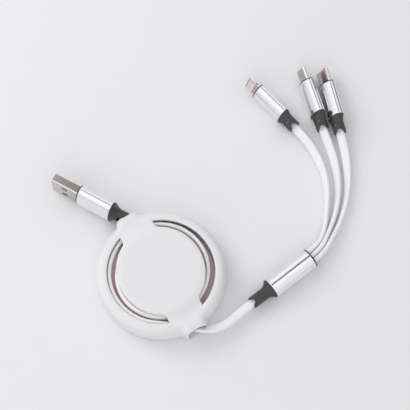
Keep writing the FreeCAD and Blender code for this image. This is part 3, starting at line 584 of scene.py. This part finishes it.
class Loft:
    """A tube along X that grows by extruding its end loop from section to section."""

    SIDES: ClassVar[int] = 96

    def __init__(self, name: str, x: float, section: Oval) -> None:
        """Lay the first loop.

        Args:
            name: The piece's name.
            x: The place of the loop along X, in millimetres.
            section: The loop's oval.
        """
        Bench.clear()
        bpy.ops.mesh.primitive_circle_add(vertices=self.SIDES, radius=MM, fill_type="NOTHING",
                                          rotation=(0.0, math.pi / 2, 0.0))
        self.piece = bpy.context.object
        self.piece.name = name
        bpy.ops.object.transform_apply()
        Bench.open(self.piece, Pick.EDGES, whole=True)
        bpy.ops.transform.translate(value=(x * MM, 0.0, 0.0))
        self.x = x
        self._cast(section)

    def _cast(self, section: Oval) -> None:
        """Move the selected loop onto a section."""
        shape = bmesh.from_edit_mesh(self.piece.data)
        for vert in shape.verts:
            if vert.select:
                angle = math.atan2(vert.co.z, vert.co.y)
                radius = section.radius_at(angle) * MM
                vert.co.y, vert.co.z = radius * math.cos(angle), radius * math.sin(angle)
        bmesh.update_edit_mesh(self.piece.data)

    def to(self, x: float, section: Oval) -> None:
        """Extrude the end loop to a place along X and give it a section."""
        move = {"value": ((x - self.x) * MM, 0.0, 0.0)}
        bpy.ops.mesh.extrude_edges_move(TRANSFORM_OT_translate=move)
        self.x = x
        self._cast(section)

    def _closed(self, close: Callable[[], object]) -> Piece:
        """Close the first and the last loop with an operator and return the finished piece."""
        bpy.ops.mesh.select_all(action="DESELECT")
        bpy.ops.mesh.select_mode(type="EDGE")
        bpy.ops.mesh.select_non_manifold(extend=False)
        close()
        Bench.weld(self.piece)
        return self.piece

    def capped(self) -> Piece:
        """Return the finished piece, with a face on each end."""
        return self._closed(bpy.ops.mesh.edge_face_add)

    def joined(self) -> Piece:
        """Return the finished ring, with its first loop bridged to its last one."""
        return self._closed(bpy.ops.mesh.bridge_edge_loops)


def hand_in(piece: Piece, body: str, finish: Finish, node: str) -> None:
    """Give a finished piece its material and its body.

    Args:
        piece: The finished piece.
        body: The body that it moves with.
        finish: Its finish.
        node: The solid that it stands for.
    """
    piece.data.materials.clear()
    piece.data.materials.append(finish.material())
    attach(piece, body)
    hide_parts(node)
    LOG.info("%s on %s for %s", piece.name, body, node)


def dress_node(name: str, finish: Finish) -> None:
    """Give a solid that stays its material."""
    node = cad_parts[name]
    node.data.materials.clear()
    node.data.materials.append(finish.material())
    LOG.info("%s keeps its solid", name)


def dress_row(stem: str, count: int, finish: Finish) -> None:
    """Give a row of numbered solids their material."""
    for index in range(1, count + 1):
        dress_node(f"{stem}_{index}", finish)


@dataclass
class Housing:
    """The round housing of two covers and its small parts."""

    covers: tuple[str, ...] = ("upper_cover", "lower_cover")
    weld_gap: float = 2e-6
    sharp: float = 35.0

    def build(self) -> None:
        """Lay a merged, smoothly shaded skin on each cover and dress the small parts."""
        for node in self.covers:
            skin = Bench.put(f"{node}_skin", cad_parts[node].data.copy())
            Bench.weld(skin, self.weld_gap, outward=False)
            Bench.smooth(skin, self.sharp)
            hand_in(skin, HOUSING, WHITE_SHELL, node)
        dress_node("cover_screw", SCREW_STEEL)
        dress_node("lock_ball", BALL_STEEL)


@dataclass(frozen=True)
class FlatCable:
    """The flat cable's section, in millimetres, and how finely it is laid."""

    width: float = 4.0
    thickness: float = 1.9
    steps: int = 14
    order: int = 3
    round_steps: int = 5
    sharp: float = 50.0

    def curve(self, name: str, points: Sequence[Point], tilts: Sequence[float]) -> Piece:
        """Return a smooth flat curve.

        Args:
            name: The piece's name.
            points: Control points, in millimetres.
            tilts: For each point, how far the strip leans from standing on its edge, in degrees.

        Returns:
            The curve.
        """
        line = bpy.data.curves.new(name, "CURVE")
        line.dimensions = "3D"
        line.twist_mode = "Z_UP"
        line.resolution_u = self.steps
        spline = line.splines.new("NURBS")
        spline.points.add(len(points) - 1)
        for knot, place, tilt in zip(spline.points, points, tilts):
            knot.co = (*(value * MM for value in place), 1.0)
            knot.tilt = math.radians(tilt)
        spline.order_u = self.order
        spline.use_endpoint_u = True
        line.extrude = (self.width - self.thickness) / 2 * MM
        line.bevel_depth = self.thickness / 2 * MM
        line.bevel_resolution = self.round_steps
        line.use_fill_caps = True
        return Bench.put(name, line)

    def solid(self, name: str, points: Sequence[Point]) -> Piece:
        """Return a smooth strip on its edge as a mesh, for a stretch that the housing holds."""
        Bench.take(self.curve(name, points, [0.0] * len(points)))
        bpy.ops.object.convert(target="MESH")
        bpy.ops.object.shade_smooth_by_angle(angle=math.radians(self.sharp))
        return bpy.context.object


@dataclass
class WoundCable:
    """The cable on the reel, its loose outer turns and the lead to the A plug, in millimetres."""

    cable: FlatCable = FlatCable()
    turns: int = 4
    pitch: float = 2.0
    outer_radius: float = 16.35
    height: float = 8.0
    step_from: float = 92.0
    step_to: float = 150.0
    spacing: float = 15.0
    loose_radius: float = 23.3
    loose_height: float = 8.45
    loose_span: Pair = (-210.0, 268.0)
    loose_lanes: tuple[Pair, ...] = ((128.0, 1.4), (-52.0, 1.6), (-128.0, 1.5))
    loose_tail: tuple[Point, ...] = (
        (-0.81, -23.29, 8.3), (7.78, -23.59, 8.1), (11.22, -24.73, 8.1))
    lead_height: float = 7.4
    lead_route: tuple[Pair, ...] = ((-3.10, 25.21), (-11.49, 23.45), (-21.55, 29.03))

    @staticmethod
    def _reach(radius: float, step: float) -> float:
        """Return how far out control points a step apart in degrees lie for an arc's radius."""
        return radius / math.cos(math.radians(step / 2))

    def _arc(self, middle: Pair, radius: float, span: Pair, height: float) -> list[Point]:
        """Return the control points that keep a strip on an arc.

        Args:
            middle: The arc's middle.
            radius: Its radius.
            span: The angles that it runs between, in degrees.
            height: Its height.

        Returns:
            The points, with both ends.
        """
        count = max(round((span[1] - span[0]) / self.spacing), 1)
        step = (span[1] - span[0]) / count
        points = []
        for index in range(count + 1):
            x, y = polar(self._reach(radius, step), span[0] + index * step)
            points.append((middle[0] + x, middle[1] + y, height))
        return points

    def wound(self) -> None:
        """Wind the turns on the reel, each stepping in at the same place."""
        points = []
        span = self.step_to - self.step_from
        for index in range(int((self.turns * FULL_TURN - span) / self.spacing)):
            angle = index * self.spacing
            turn, rest = divmod(angle, FULL_TURN)
            step = min(max((rest - (FULL_TURN - span)) / span, 0.0), 1.0)
            eased = step * step * (3 - 2 * step)
            radius = self.outer_radius - self.pitch * (turn + eased)
            place = polar(self._reach(radius, self.spacing), self.step_to + angle)
            points.append((*place, self.height))
        coil = self.cable.solid("wound_cable", points)
        hand_in(coil, REEL, WOUND_JACKET_PAINTED_LIGHT, "cable_coil")

    def loose(self) -> None:
        """Lay the loose turns, which widen lane by lane on their way to the mouth."""
        x, y, radius, end = 0.0, 0.0, self.loose_radius, self.loose_span[1]
        points = list(self.loose_tail)
        for angle, shrink in self.loose_lanes + ((self.loose_span[0], 0.0),):
            points = self._arc((x, y), radius, (angle, end), self.loose_height)[:-1] + points
            shift = polar(shrink, angle)
            x, y = x + shift[0], y + shift[1]
            radius, end = radius - shrink, angle
        turns = self.cable.solid("loose_turn", points)
        hand_in(turns, HOUSING, WOUND_JACKET_PAINTED_LIGHT, "main_lead")

    def build(self) -> None:
        """Wind the turns, lay the two leads and dress the reel."""
        self.wound()
        self.loose()
        short = self.cable.solid("plug_lead", [(*xy, self.lead_height) for xy in self.lead_route])
        hand_in(short, HOUSING, JACKET, "usb_lead")
        for node in ("reel_drum", "reel_top_flange"):
            dress_node(node, REEL_PLASTIC)
        dress_node("spiral_spring", SPRING_STEEL)


@dataclass
class PlugBody:
    """A plug's oval sleeve, its flared strain relief and its filling, in millimetres.

    RIM gives how the sleeve's rims round off, in shares of the rim's length and depth, and LIP how
    the relief's end does, as steps from the end and in from the neck. PAST is how far a cutter
    reaches beyond what it cuts. A rounding is a radius and a number of faces, and an edge the
    width of its bevel and the least angle in degrees that is bevelled.
    """

    RIM: ClassVar[tuple[Pair, ...]] = (
        (0.0, 1.0), (0.04, 0.62), (0.14, 0.28), (0.35, 0.08), (0.7, 0.0))
    LIP: ClassVar[tuple[Pair, ...]] = ((0.25, 0.0), (0.07, 0.07), (0.0, 0.22))
    FLARE_STEPS: ClassVar[int] = 9
    FLARE_POWER: ClassVar[float] = 2.1
    PAST: ClassVar[float] = 1.0
    SHARP: ClassVar[float] = 40.0

    title: str
    lie: Lie
    section: Oval
    length: float
    relief_length: float
    filling: str = "insert"
    wall: float = 0.7
    rim_length: float = 0.5
    rim_depth: float = 0.25
    inset: float = 0.25
    straight: float = 0.495
    flare: float = 3.8
    neck: Oval = Oval(6.1, 5.9)
    bore: Oval = Oval(4.4, 4.39, 0.99)
    cap: float = 1.2
    relief_edge: Pair = (0.09, 50.0)
    fork_width: float = 3.0
    fork_depth: float = 1.5
    fork_round: Rounding = (1.38, 8)
    fork_turn: float = 55.0
    window: Point = (4.3, 1.0, 2.6)
    window_round: Rounding = (0.3, 4)
    window_turn: float = 25.0
    # Painted light on the steel front: the broad faces are the steel's colour darkened with painted
    # shade, the sides get a painted highlight, and a painted dark reflection line lies between
    # them.
    broad_steel_and_painted_shade: Colour = (0.50, 0.45, 0.455)
    side_painted_highlight: Colour = (0.93, 0.92, 0.91)
    painted_dark_reflection_line: Colour = (0.16, 0.15, 0.15)
    line_span: Pair = (0.28, 0.5)

    def fit(self, piece: Piece, slot: str, finish: Finish, node: str) -> None:
        """Shade a piece, put it in its place and hand it in.

        Args:
            piece: The piece, in the plug's own coordinates.
            slot: The record's material slot; not used.
            finish: Its finish.
            node: The solid that it stands for, without the plug's title.
        """
        Bench.smooth(piece, self.SHARP)
        Bench.settle(piece, self.lie.matrix())
        hand_in(piece, HOUSING, finish, f"{self.title}_{node}")

    def sleeve(self) -> None:
        """Turn up the aluminium sleeve with softly broken rims."""
        inside, depth = self.section.grown(-self.wall), self.wall * 2
        rim = [(along * self.rim_length, self.section.grown(-share * self.rim_depth))
               for along, share in self.RIM]
        loft = Loft(f"{self.title}_sleeve_skin", depth, inside)
        loft.to(0.0, inside)
        for along, section in rim:
            loft.to(along, section)
        for along, section in reversed(rim):
            loft.to(self.length - along, section)
        loft.to(self.length, inside)
        loft.to(self.length - depth, inside)
        finish = Metal(f"sleeve_aluminium_{self.title}", (0.90, 0.90, 0.905), (0.88, 0.88, 0.885),
                       (0.17, 0.18), line_depth=0.002, across=5200.0, along=90.0,
                       turn=self.lie.turn(), middle=self.lie.place())
        self.fit(loft.joined(), "sleeve_aluminium", finish, "sleeve")

    def _slab(self, name: str, along: Pair, width: float) -> Piece:
        """Return a block that goes upright through the relief, between two places along X."""
        reach = self.neck.width
        return Bench.block(name, (along[0], -width / 2, -reach), (along[1], width / 2, reach))

    def fork(self) -> Piece:
        """Return the cutter of the fork, round at its bottom."""
        end = self.fork_depth - self.relief_length
        piece = self._slab("fork_cut", (-self.relief_length - self.PAST, end), self.fork_width)
        upright, at_end = runs_along("z"), lies_at_end(end)
        Bench.round_edges(piece, lambda edge: upright(edge) and at_end(edge), self.fork_round)
        Bench.spin(piece, self.fork_turn)
        return piece

    def cross_window(self) -> Piece:
        """Return the cutter of the cross window, with rounded corners."""
        place, slit, wide = self.window
        piece = self._slab("window_cut", (-place - slit / 2, -place + slit / 2), wide)
        Bench.round_edges(piece, runs_along("z"), self.window_round)
        Bench.spin(piece, self.window_turn)
        return piece

    def relief(self) -> None:
        """Mould the black strain relief with its fork and its cross window."""
        base = self.section.grown(-self.inset)
        loft = Loft(f"{self.title}_relief_skin", 0.0, base)
        loft.to(-self.straight, base)
        for index in range(1, self.FLARE_STEPS + 1):
            share = index / self.FLARE_STEPS
            ease = 1.0 - (1.0 - share) ** self.FLARE_POWER
            x = -self.straight - (self.flare - self.straight) * share
            loft.to(x, base.towards(self.neck, ease))
        for along, depth in self.LIP:
            loft.to(along - self.relief_length, self.neck.grown(-depth))
        loft.to(-self.relief_length, self.bore)
        loft.to(-self.cap, self.bore)
        piece = loft.capped()
        Bench.cut(piece, (self.fork(), self.cross_window()))
        Bench.soften(piece, *self.relief_edge)
        self.fit(piece, "relief_black", BLACK_RUBBER, "strain_relief")

    def steel(self, half_width: float, corner: float) -> Plating:
        """Return the plated steel of the plug's front, with lines along the plug, painted shade on
        its broad faces and a painted highlight and painted dark reflection line on its sides.

        Args:
            half_width: Half the front's width.
            corner: The radius of its long edges.

        Returns:
            The finish.
        """
        return Plating(f"shell_steel_{self.title}", self.broad_steel_and_painted_shade, self.broad_steel_and_painted_shade, (0.10, 0.14),
                       line_depth=0.02, across=3600.0, along=120.0, turn=self.lie.turn(),
                       middle=self.lie.place(), side=self.side_painted_highlight, line=self.painted_dark_reflection_line,
                       side_span=(half_width - corner, half_width), line_span=self.line_span)

    def build(self) -> None:
        """Build the sleeve and the relief and dress the filling."""
        self.sleeve()
        self.relief()
        dress_node(f"{self.title}_{self.filling}", BLACK_CORE)


@dataclass
class ShellPlug(PlugBody):
    """A plug with a hollow steel shell in front of its sleeve."""

    FACING: ClassVar[float] = 0.9

    reach: float = 13.4
    collar: float = 0.5
    shell: Pair = (12.0, 4.5)
    shell_wall: float = 0.3
    shell_floor: float = 0.4
    shell_edge: Pair = (0.07, 55.0)
    corner: Rounding = (0.6, 5)
    base_narrow: float = 1.0
    inner: tuple[str, ...] = ()

    def _narrow(self, piece: Piece) -> None:
        """Draw in the lower half of a block across its width."""
        Bench.open(piece, Pick.FACES, whole=True)
        bpy.ops.mesh.bisect(plane_co=(0.0, 0.0, 0.0), plane_no=(0.0, 0.0, 1.0))
        Bench.choose(piece, Pick.VERTS, lambda vert: vert.co.z < -self.shell[1] / 4 * MM)
        bpy.ops.transform.resize(value=(1.0, self.base_narrow, 1.0))
        Bench.clear()

    def _hollow(self, piece: Piece) -> None:
        """Open a block from its tip, with a wall all round and a floor at its rear."""
        Bench.choose(piece, Pick.FACES, lambda face: face.normal.x > self.FACING)
        bpy.ops.mesh.inset(thickness=self.shell_wall * MM)
        move = {"value": ((self.shell_floor - self.reach) * MM, 0.0, 0.0)}
        bpy.ops.mesh.extrude_region_move(TRANSFORM_OT_translate=move)
        Bench.weld(piece)

    def shell_skin(self) -> Piece:
        """Fold the steel shell: a block with rounded long edges, opened from the tip."""
        front = self.length + self.collar
        half_w, half_t = self.shell[0] / 2, self.shell[1] / 2
        piece = Bench.block(f"{self.title}_shell_skin", (front, -half_w, -half_t),
                            (front + self.reach, half_w, half_t))
        if self.base_narrow < 1.0:
            self._narrow(piece)
        lengthwise, outer = runs_along("x"), half_t / 2 * MM
        Bench.round_edges(
            piece, lambda edge: lengthwise(edge) and abs(edge.verts[0].co.z) > outer, self.corner)
        self._hollow(piece)
        return piece

    def build(self) -> None:
        """Build the plug with its shell and dress what the shell holds."""
        super().build()
        piece = self.shell_skin()
        Bench.soften(piece, *self.shell_edge)
        steel = self.steel(self.shell[0] / 2 * self.base_narrow, self.corner[0])
        self.fit(piece, "shell_steel", steel, "shell")
        for node in self.inner:
            dress_node(node, DARK_TONGUE)


@dataclass
class APlug(ShellPlug):
    """The A plug, with two square holes through each broad side of its shell."""

    hole: Pair = (2.5, 2.2)
    hole_spacing: float = 5.6
    hole_place: float = 6.6
    contacts: int = 4

    def shell_skin(self) -> Piece:
        """Fold the shell and punch its holes."""
        piece = super().shell_skin()
        middle = self.length + self.collar + self.reach - self.hole_place
        half_l, half_w, through = self.hole[0] / 2, self.hole[1] / 2, self.shell[1]
        Bench.cut(piece, [
            Bench.block("hole_cut", (middle - half_l, y - half_w, -through),
                        (middle + half_l, y + half_w, through))
            for y in (-self.hole_spacing / 2, self.hole_spacing / 2)])
        return piece

    def build(self) -> None:
        """Build the plug and dress its contacts."""
        super().build()
        dress_row(f"{self.title}_contact", self.contacts, CONTACT_GOLD)


@dataclass
class EightPinPlug(PlugBody):
    """The plug with a flat metal tab and eight gold pads in the tab's window."""

    NOTCH_SIDES: ClassVar[int] = 32

    reach: float = 6.8
    collar: float = 0.5
    root: float = 0.4
    tab_size: Pair = (6.7, 1.5)
    tab_edge: Pair = (0.06, 55.0)
    side_round: Rounding = (0.7, 8)
    tip_round: Rounding = (0.32, 5)
    pad_window: Point = (0.9, 3.2, 5.2)
    notch: Pair = (0.55, 4.9)
    through: float = 2.0
    pads: int = 8

    def tab(self) -> None:
        """Shape the tab: rounded sides, rounded tip, latch notches and the pad window."""
        front = self.length + self.collar
        tip = front + self.reach
        half_w, half_t = self.tab_size[0] / 2, self.tab_size[1] / 2
        piece = Bench.block(f"{self.title}_tab_skin", (front - self.root, -half_w, -half_t),
                            (tip, half_w, half_t))
        Bench.round_edges(piece, runs_along("x"), self.side_round)
        Bench.round_edges(piece, lies_at_end(tip), self.tip_round)
        setback, long, wide = self.pad_window
        cutters = [Bench.block("pad_window_cut", (tip - setback - long, -wide / 2, -self.through),
                               (tip - setback, wide / 2, self.through))]
        radius, place = self.notch
        for side in (-half_w, half_w):
            Bench.clear()
            bpy.ops.mesh.primitive_cylinder_add(vertices=self.NOTCH_SIDES, radius=radius * MM,
                                                depth=2 * self.through * MM,
                                                location=((tip - place) * MM, side * MM, 0.0))
            cutters.append(bpy.context.object)
        Bench.cut(piece, cutters)
        Bench.soften(piece, *self.tab_edge)
        self.fit(piece, "tab_metal", self.steel(half_w, self.side_round[0]), "tab")

    def build(self) -> None:
        """Build the plug with its tab and dress its pads."""
        super().build()
        self.tab()
        dress_node(f"{self.title}_pad_block", PALE_BLOCK)
        dress_row(f"{self.title}_pad", self.pads, CONTACT_GOLD)


@dataclass
class Splitter(PlugBody):
    """The splitter, where the main cable becomes three branches."""

    filling: str = "end_cap"
    neck: Oval = Oval(5.5, 5.3)
    fork_turn: float = 0.0
    window_turn: float = 90.0


@dataclass
class FreeCord:
    """A free flat cord on the table, from a mouth or the splitter to the pieces at its far end."""

    node: str
    points: tuple[Point, ...]
    tilts: tuple[float, ...]
    exit: Point
    length: float
    far: str
    far_front: str = "shell_skin"
    cable: FlatCable = FlatCable()

    def build(self) -> None:
        """Lay the cord and say what it is."""
        piece = self.cable.curve(f"{self.node}_curve", self.points, self.tilts)
        hand_in(piece, HOUSING, JACKET, self.node)


def grey(value: float, cool: float = 1.005) -> Colour:
    """Return an almost neutral colour, a trace bluer than grey."""
    return (value, value, value * cool)


@dataclass(frozen=True)
class Patch:
    """A lighter or darker patch of the tent.

    Its stops say by which share the tent is dimmed at a cosine of the angle from its aim.
    """

    aim: Point
    stops: tuple[Pair, Pair]


@dataclass(frozen=True)
class Lamp:
    """A soft square lamp, in metres and watts, that metal doesn't mirror."""

    name: str
    place: Point
    size: float
    watts: float
    target: Point = (0.02, 0.03, 0.0)

    def hang(self) -> None:
        """Hang the lamp and turn it to its target."""
        light = bpy.data.lights.new(self.name, "AREA")
        light.shape = "RECTANGLE"
        light.size = light.size_y = self.size
        light.energy = self.watts
        lamp = Bench.put(self.name, light)
        lamp.location = self.place
        away = Vector(self.target) - Vector(self.place)
        lamp.rotation_euler = away.to_track_quat("-Z", "Y").to_euler()
        lamp.visible_glossy = False


@dataclass
class Studio:
    """The pale table, the light tent, the lamps and the camera.

    The tent has one strength for what it lights and another for what metal mirrors of it. Its
    levels run from the horizon to the top, and its patches lie over them.
    """

    look_at: Point = (19.6, 35.6, 0.0)
    elevation: float = 70.0
    distance: float = 684.0
    lens: float = 130.3
    sensor: float = 36.0
    nearest: float = 0.01
    floor_size: float = 6.0
    floor_drop: float = 0.02
    tent_light: float = 0.89
    gloss_light: float = 1.12
    levels: tuple[Pair, ...] = ((0.0, 0.72), (0.30, 0.90), (1.0, 1.0))
    soft_box: Patch = Patch((-0.33, 0.05, 0.94), ((0.60, 0.82), (0.85, 1.0)))
    overhead_gap: Patch = Patch((0.05, 0.35, 0.935), ((0.978, 1.0), (0.992, 0.14)))
    dark_corner: Patch = Patch((0.86, 0.50, 0.12), ((0.90, 1.0), (0.97, 0.15)))
    key: Lamp = Lamp("key", (-0.46, 0.34, 0.46), 0.4, 1.5)
    fill: Lamp = Lamp("fill", (-0.05, -0.62, 0.36), 0.6, 0.7)

    def floor(self) -> None:
        """Lay the table, with a faint mottle."""
        Bench.clear()
        place = (0.0, 0.0, -self.floor_drop * MM)
        bpy.ops.mesh.primitive_plane_add(size=self.floor_size, location=place)
        table = bpy.context.object
        table.name = "table"
        bpy.ops.object.transform_apply()
        table.data.materials.append(TABLE_PAPER.material())

    def tent(self) -> None:
        """Surround the table with the tent."""
        world = bpy.data.worlds.new("tent")
        bpy.context.scene.world = world
        world.use_nodes = True
        nodes = Nodes(world.node_tree)
        back = world.node_tree.nodes["Background"]
        mirrored = nodes.add("ShaderNodeLightPath").outputs["Is Glossy Ray"]
        towards = nodes.add("ShaderNodeTexCoord").outputs["Generated"]
        height = nodes.add("ShaderNodeSeparateXYZ", towards).outputs["Z"]
        colour = nodes.ramp(height, [(place, grey(level)) for place, level in self.levels])
        for patch in (self.soft_box, self.overhead_gap, self.dark_corner):
            aim = Vector(patch.aim).normalized()
            near = nodes.add("ShaderNodeVectorMath", towards, aim, operation="DOT_PRODUCT")
            stops = [(place, grey(level)) for place, level in patch.stops]
            shade = nodes.ramp(near.outputs["Value"], stops)
            both = nodes.add("ShaderNodeVectorMath", colour, shade, operation="MULTIPLY")
            colour = both.outputs["Vector"]
        strength = nodes.mapped(mirrored, target=(self.tent_light, self.gloss_light))
        nodes.feed(back.inputs["Color"], colour)
        nodes.feed(back.inputs["Strength"], strength)

    def camera(self) -> None:
        """Set the camera at the photograph's angle."""
        camera = bpy.data.cameras.new("camera")
        camera.lens = self.lens
        camera.sensor_width = self.sensor
        camera.clip_start = self.nearest
        holder = Bench.put("camera", camera)
        tilt = math.radians(self.elevation)
        away = Vector((0.0, -math.cos(tilt), math.sin(tilt))) * self.distance * MM
        holder.location = Vector(self.look_at) * MM + away
        holder.rotation_euler = (-away).to_track_quat("-Z", "Y").to_euler()
        bpy.context.scene.camera = holder

    def build(self) -> None:
        """Set up table, tent, lamps and camera."""
        bpy.context.scene.view_settings.view_transform = "Standard"
        self.floor()
        self.tent()
        self.key.hang()
        self.fill.hang()
        self.camera()


BRANCH_TILTS = (0.0, 0.0, 6.0, 10.0, 18.0, 32.0, 60.0, 78.0, 78.0)

CORDS = (
    FreeCord("main_cord", (
        (11.22, -24.73, 8.1), (14.03, -25.67, 8.1), (25.8, -25.4, 5.4), (36.56, -15.93, 4.2),
        (48.26, -6.55, 4.2),
    ), (0.0, 30.0, 74.0, 86.0, 90.0), (14.03, -25.67, 8.1), 0.0439, "splitter", "end_cap"),
    FreeCord("eight_pin_cord", (
        (62.68, 8.08, 4.2), (70.49, 14.33, 4.2), (74.0, 22.1, 2.8), (75.4, 31.8, 2.1),
        (76.0, 41.8, 2.1), (74.6, 51.8, 2.1), (70.6, 61.0, 2.5), (64.92, 68.77, 4.48),
        (56.81, 77.62, 4.48),
    ), BRANCH_TILTS, (65.81, 10.58, 4.2), 0.0798, "eight_pin", "tab_skin"),
    FreeCord("micro_cord", (
        (64.18, 6.20, 4.2), (71.99, 12.46, 4.2), (75.5, 20.4, 2.8), (78.8, 28.8, 2.1),
        (80.8, 38.4, 2.1), (80.9, 48.4, 2.1), (79.2, 58.2, 2.6), (76.17, 66.51, 4.84),
        (72.56, 77.96, 4.84),
    ), BRANCH_TILTS, (67.31, 8.70, 4.2), 0.0784, "micro"),
    FreeCord("type_c_cord", (
        (65.69, 4.33, 4.2), (73.49, 10.58, 4.2), (77.6, 18.8, 2.8), (81.4, 26.6, 2.1),
        (84.2, 35.6, 2.1), (85.6, 45.4, 2.1), (85.4, 55.2, 2.6), (83.78, 64.67, 4.84),
        (80.98, 76.33, 4.84),
    ), BRANCH_TILTS, (68.81, 6.83, 4.2), 0.0787, "type_c"),
)

PLUGS = (
    # The A plug's shell tones are painted shade on its broad faces, a painted highlight on its
    # sides and a painted dark reflection line between them.
    APlug("usb", Lie(-22.60, 29.61, 7.397, 151.0, 92.0), Oval(14.8, 8.7), 16.5, 8.0,
          broad_steel_and_painted_shade=(0.60, 0.56, 0.57), side_painted_highlight=(0.92, 0.88, 0.83),
          painted_dark_reflection_line=(0.42, 0.39, 0.38), line_span=(0.1, 0.4), inner=("usb_tongue",)),
    EightPinPlug("eight_pin", Lie(56.0, 78.5, 4.482, 132.5, 115.0), Oval(9.4, 6.4), 16.5, 8.2),
    ShellPlug("micro", Lie(72.2, 79.1, 4.844, 107.5, 115.0), Oval(10.2, 6.4), 16.5, 8.2,
              reach=6.8, shell=(6.85, 1.8), shell_wall=0.25, corner=(0.55, 5), base_narrow=0.8,
              inner=("micro_tongue",)),
    ShellPlug("type_c", Lie(80.7, 77.5, 4.845, 103.5, 119.0), Oval(10.4, 6.4), 16.7, 8.2,
              reach=7.0, shell=(8.25, 2.4), shell_wall=0.25, corner=(1.18, 9),
              inner=("type_c_contact_block",)),
    Splitter("splitter", Lie(49.2, -5.8, 4.2, 38.7, 180.0), Oval(10.0, 8.4), 22.6, 11.2),
)


def main() -> None:
    """Build every sub-assembly and set up the studio."""
    Bench.clear()
    Studio().build()
    Housing().build()
    WoundCable().build()
    for item in PLUGS + CORDS:
        item.build()
    Bench.clear()
    bpy.context.view_layer.update()


if __name__ == "__main__":
    main()
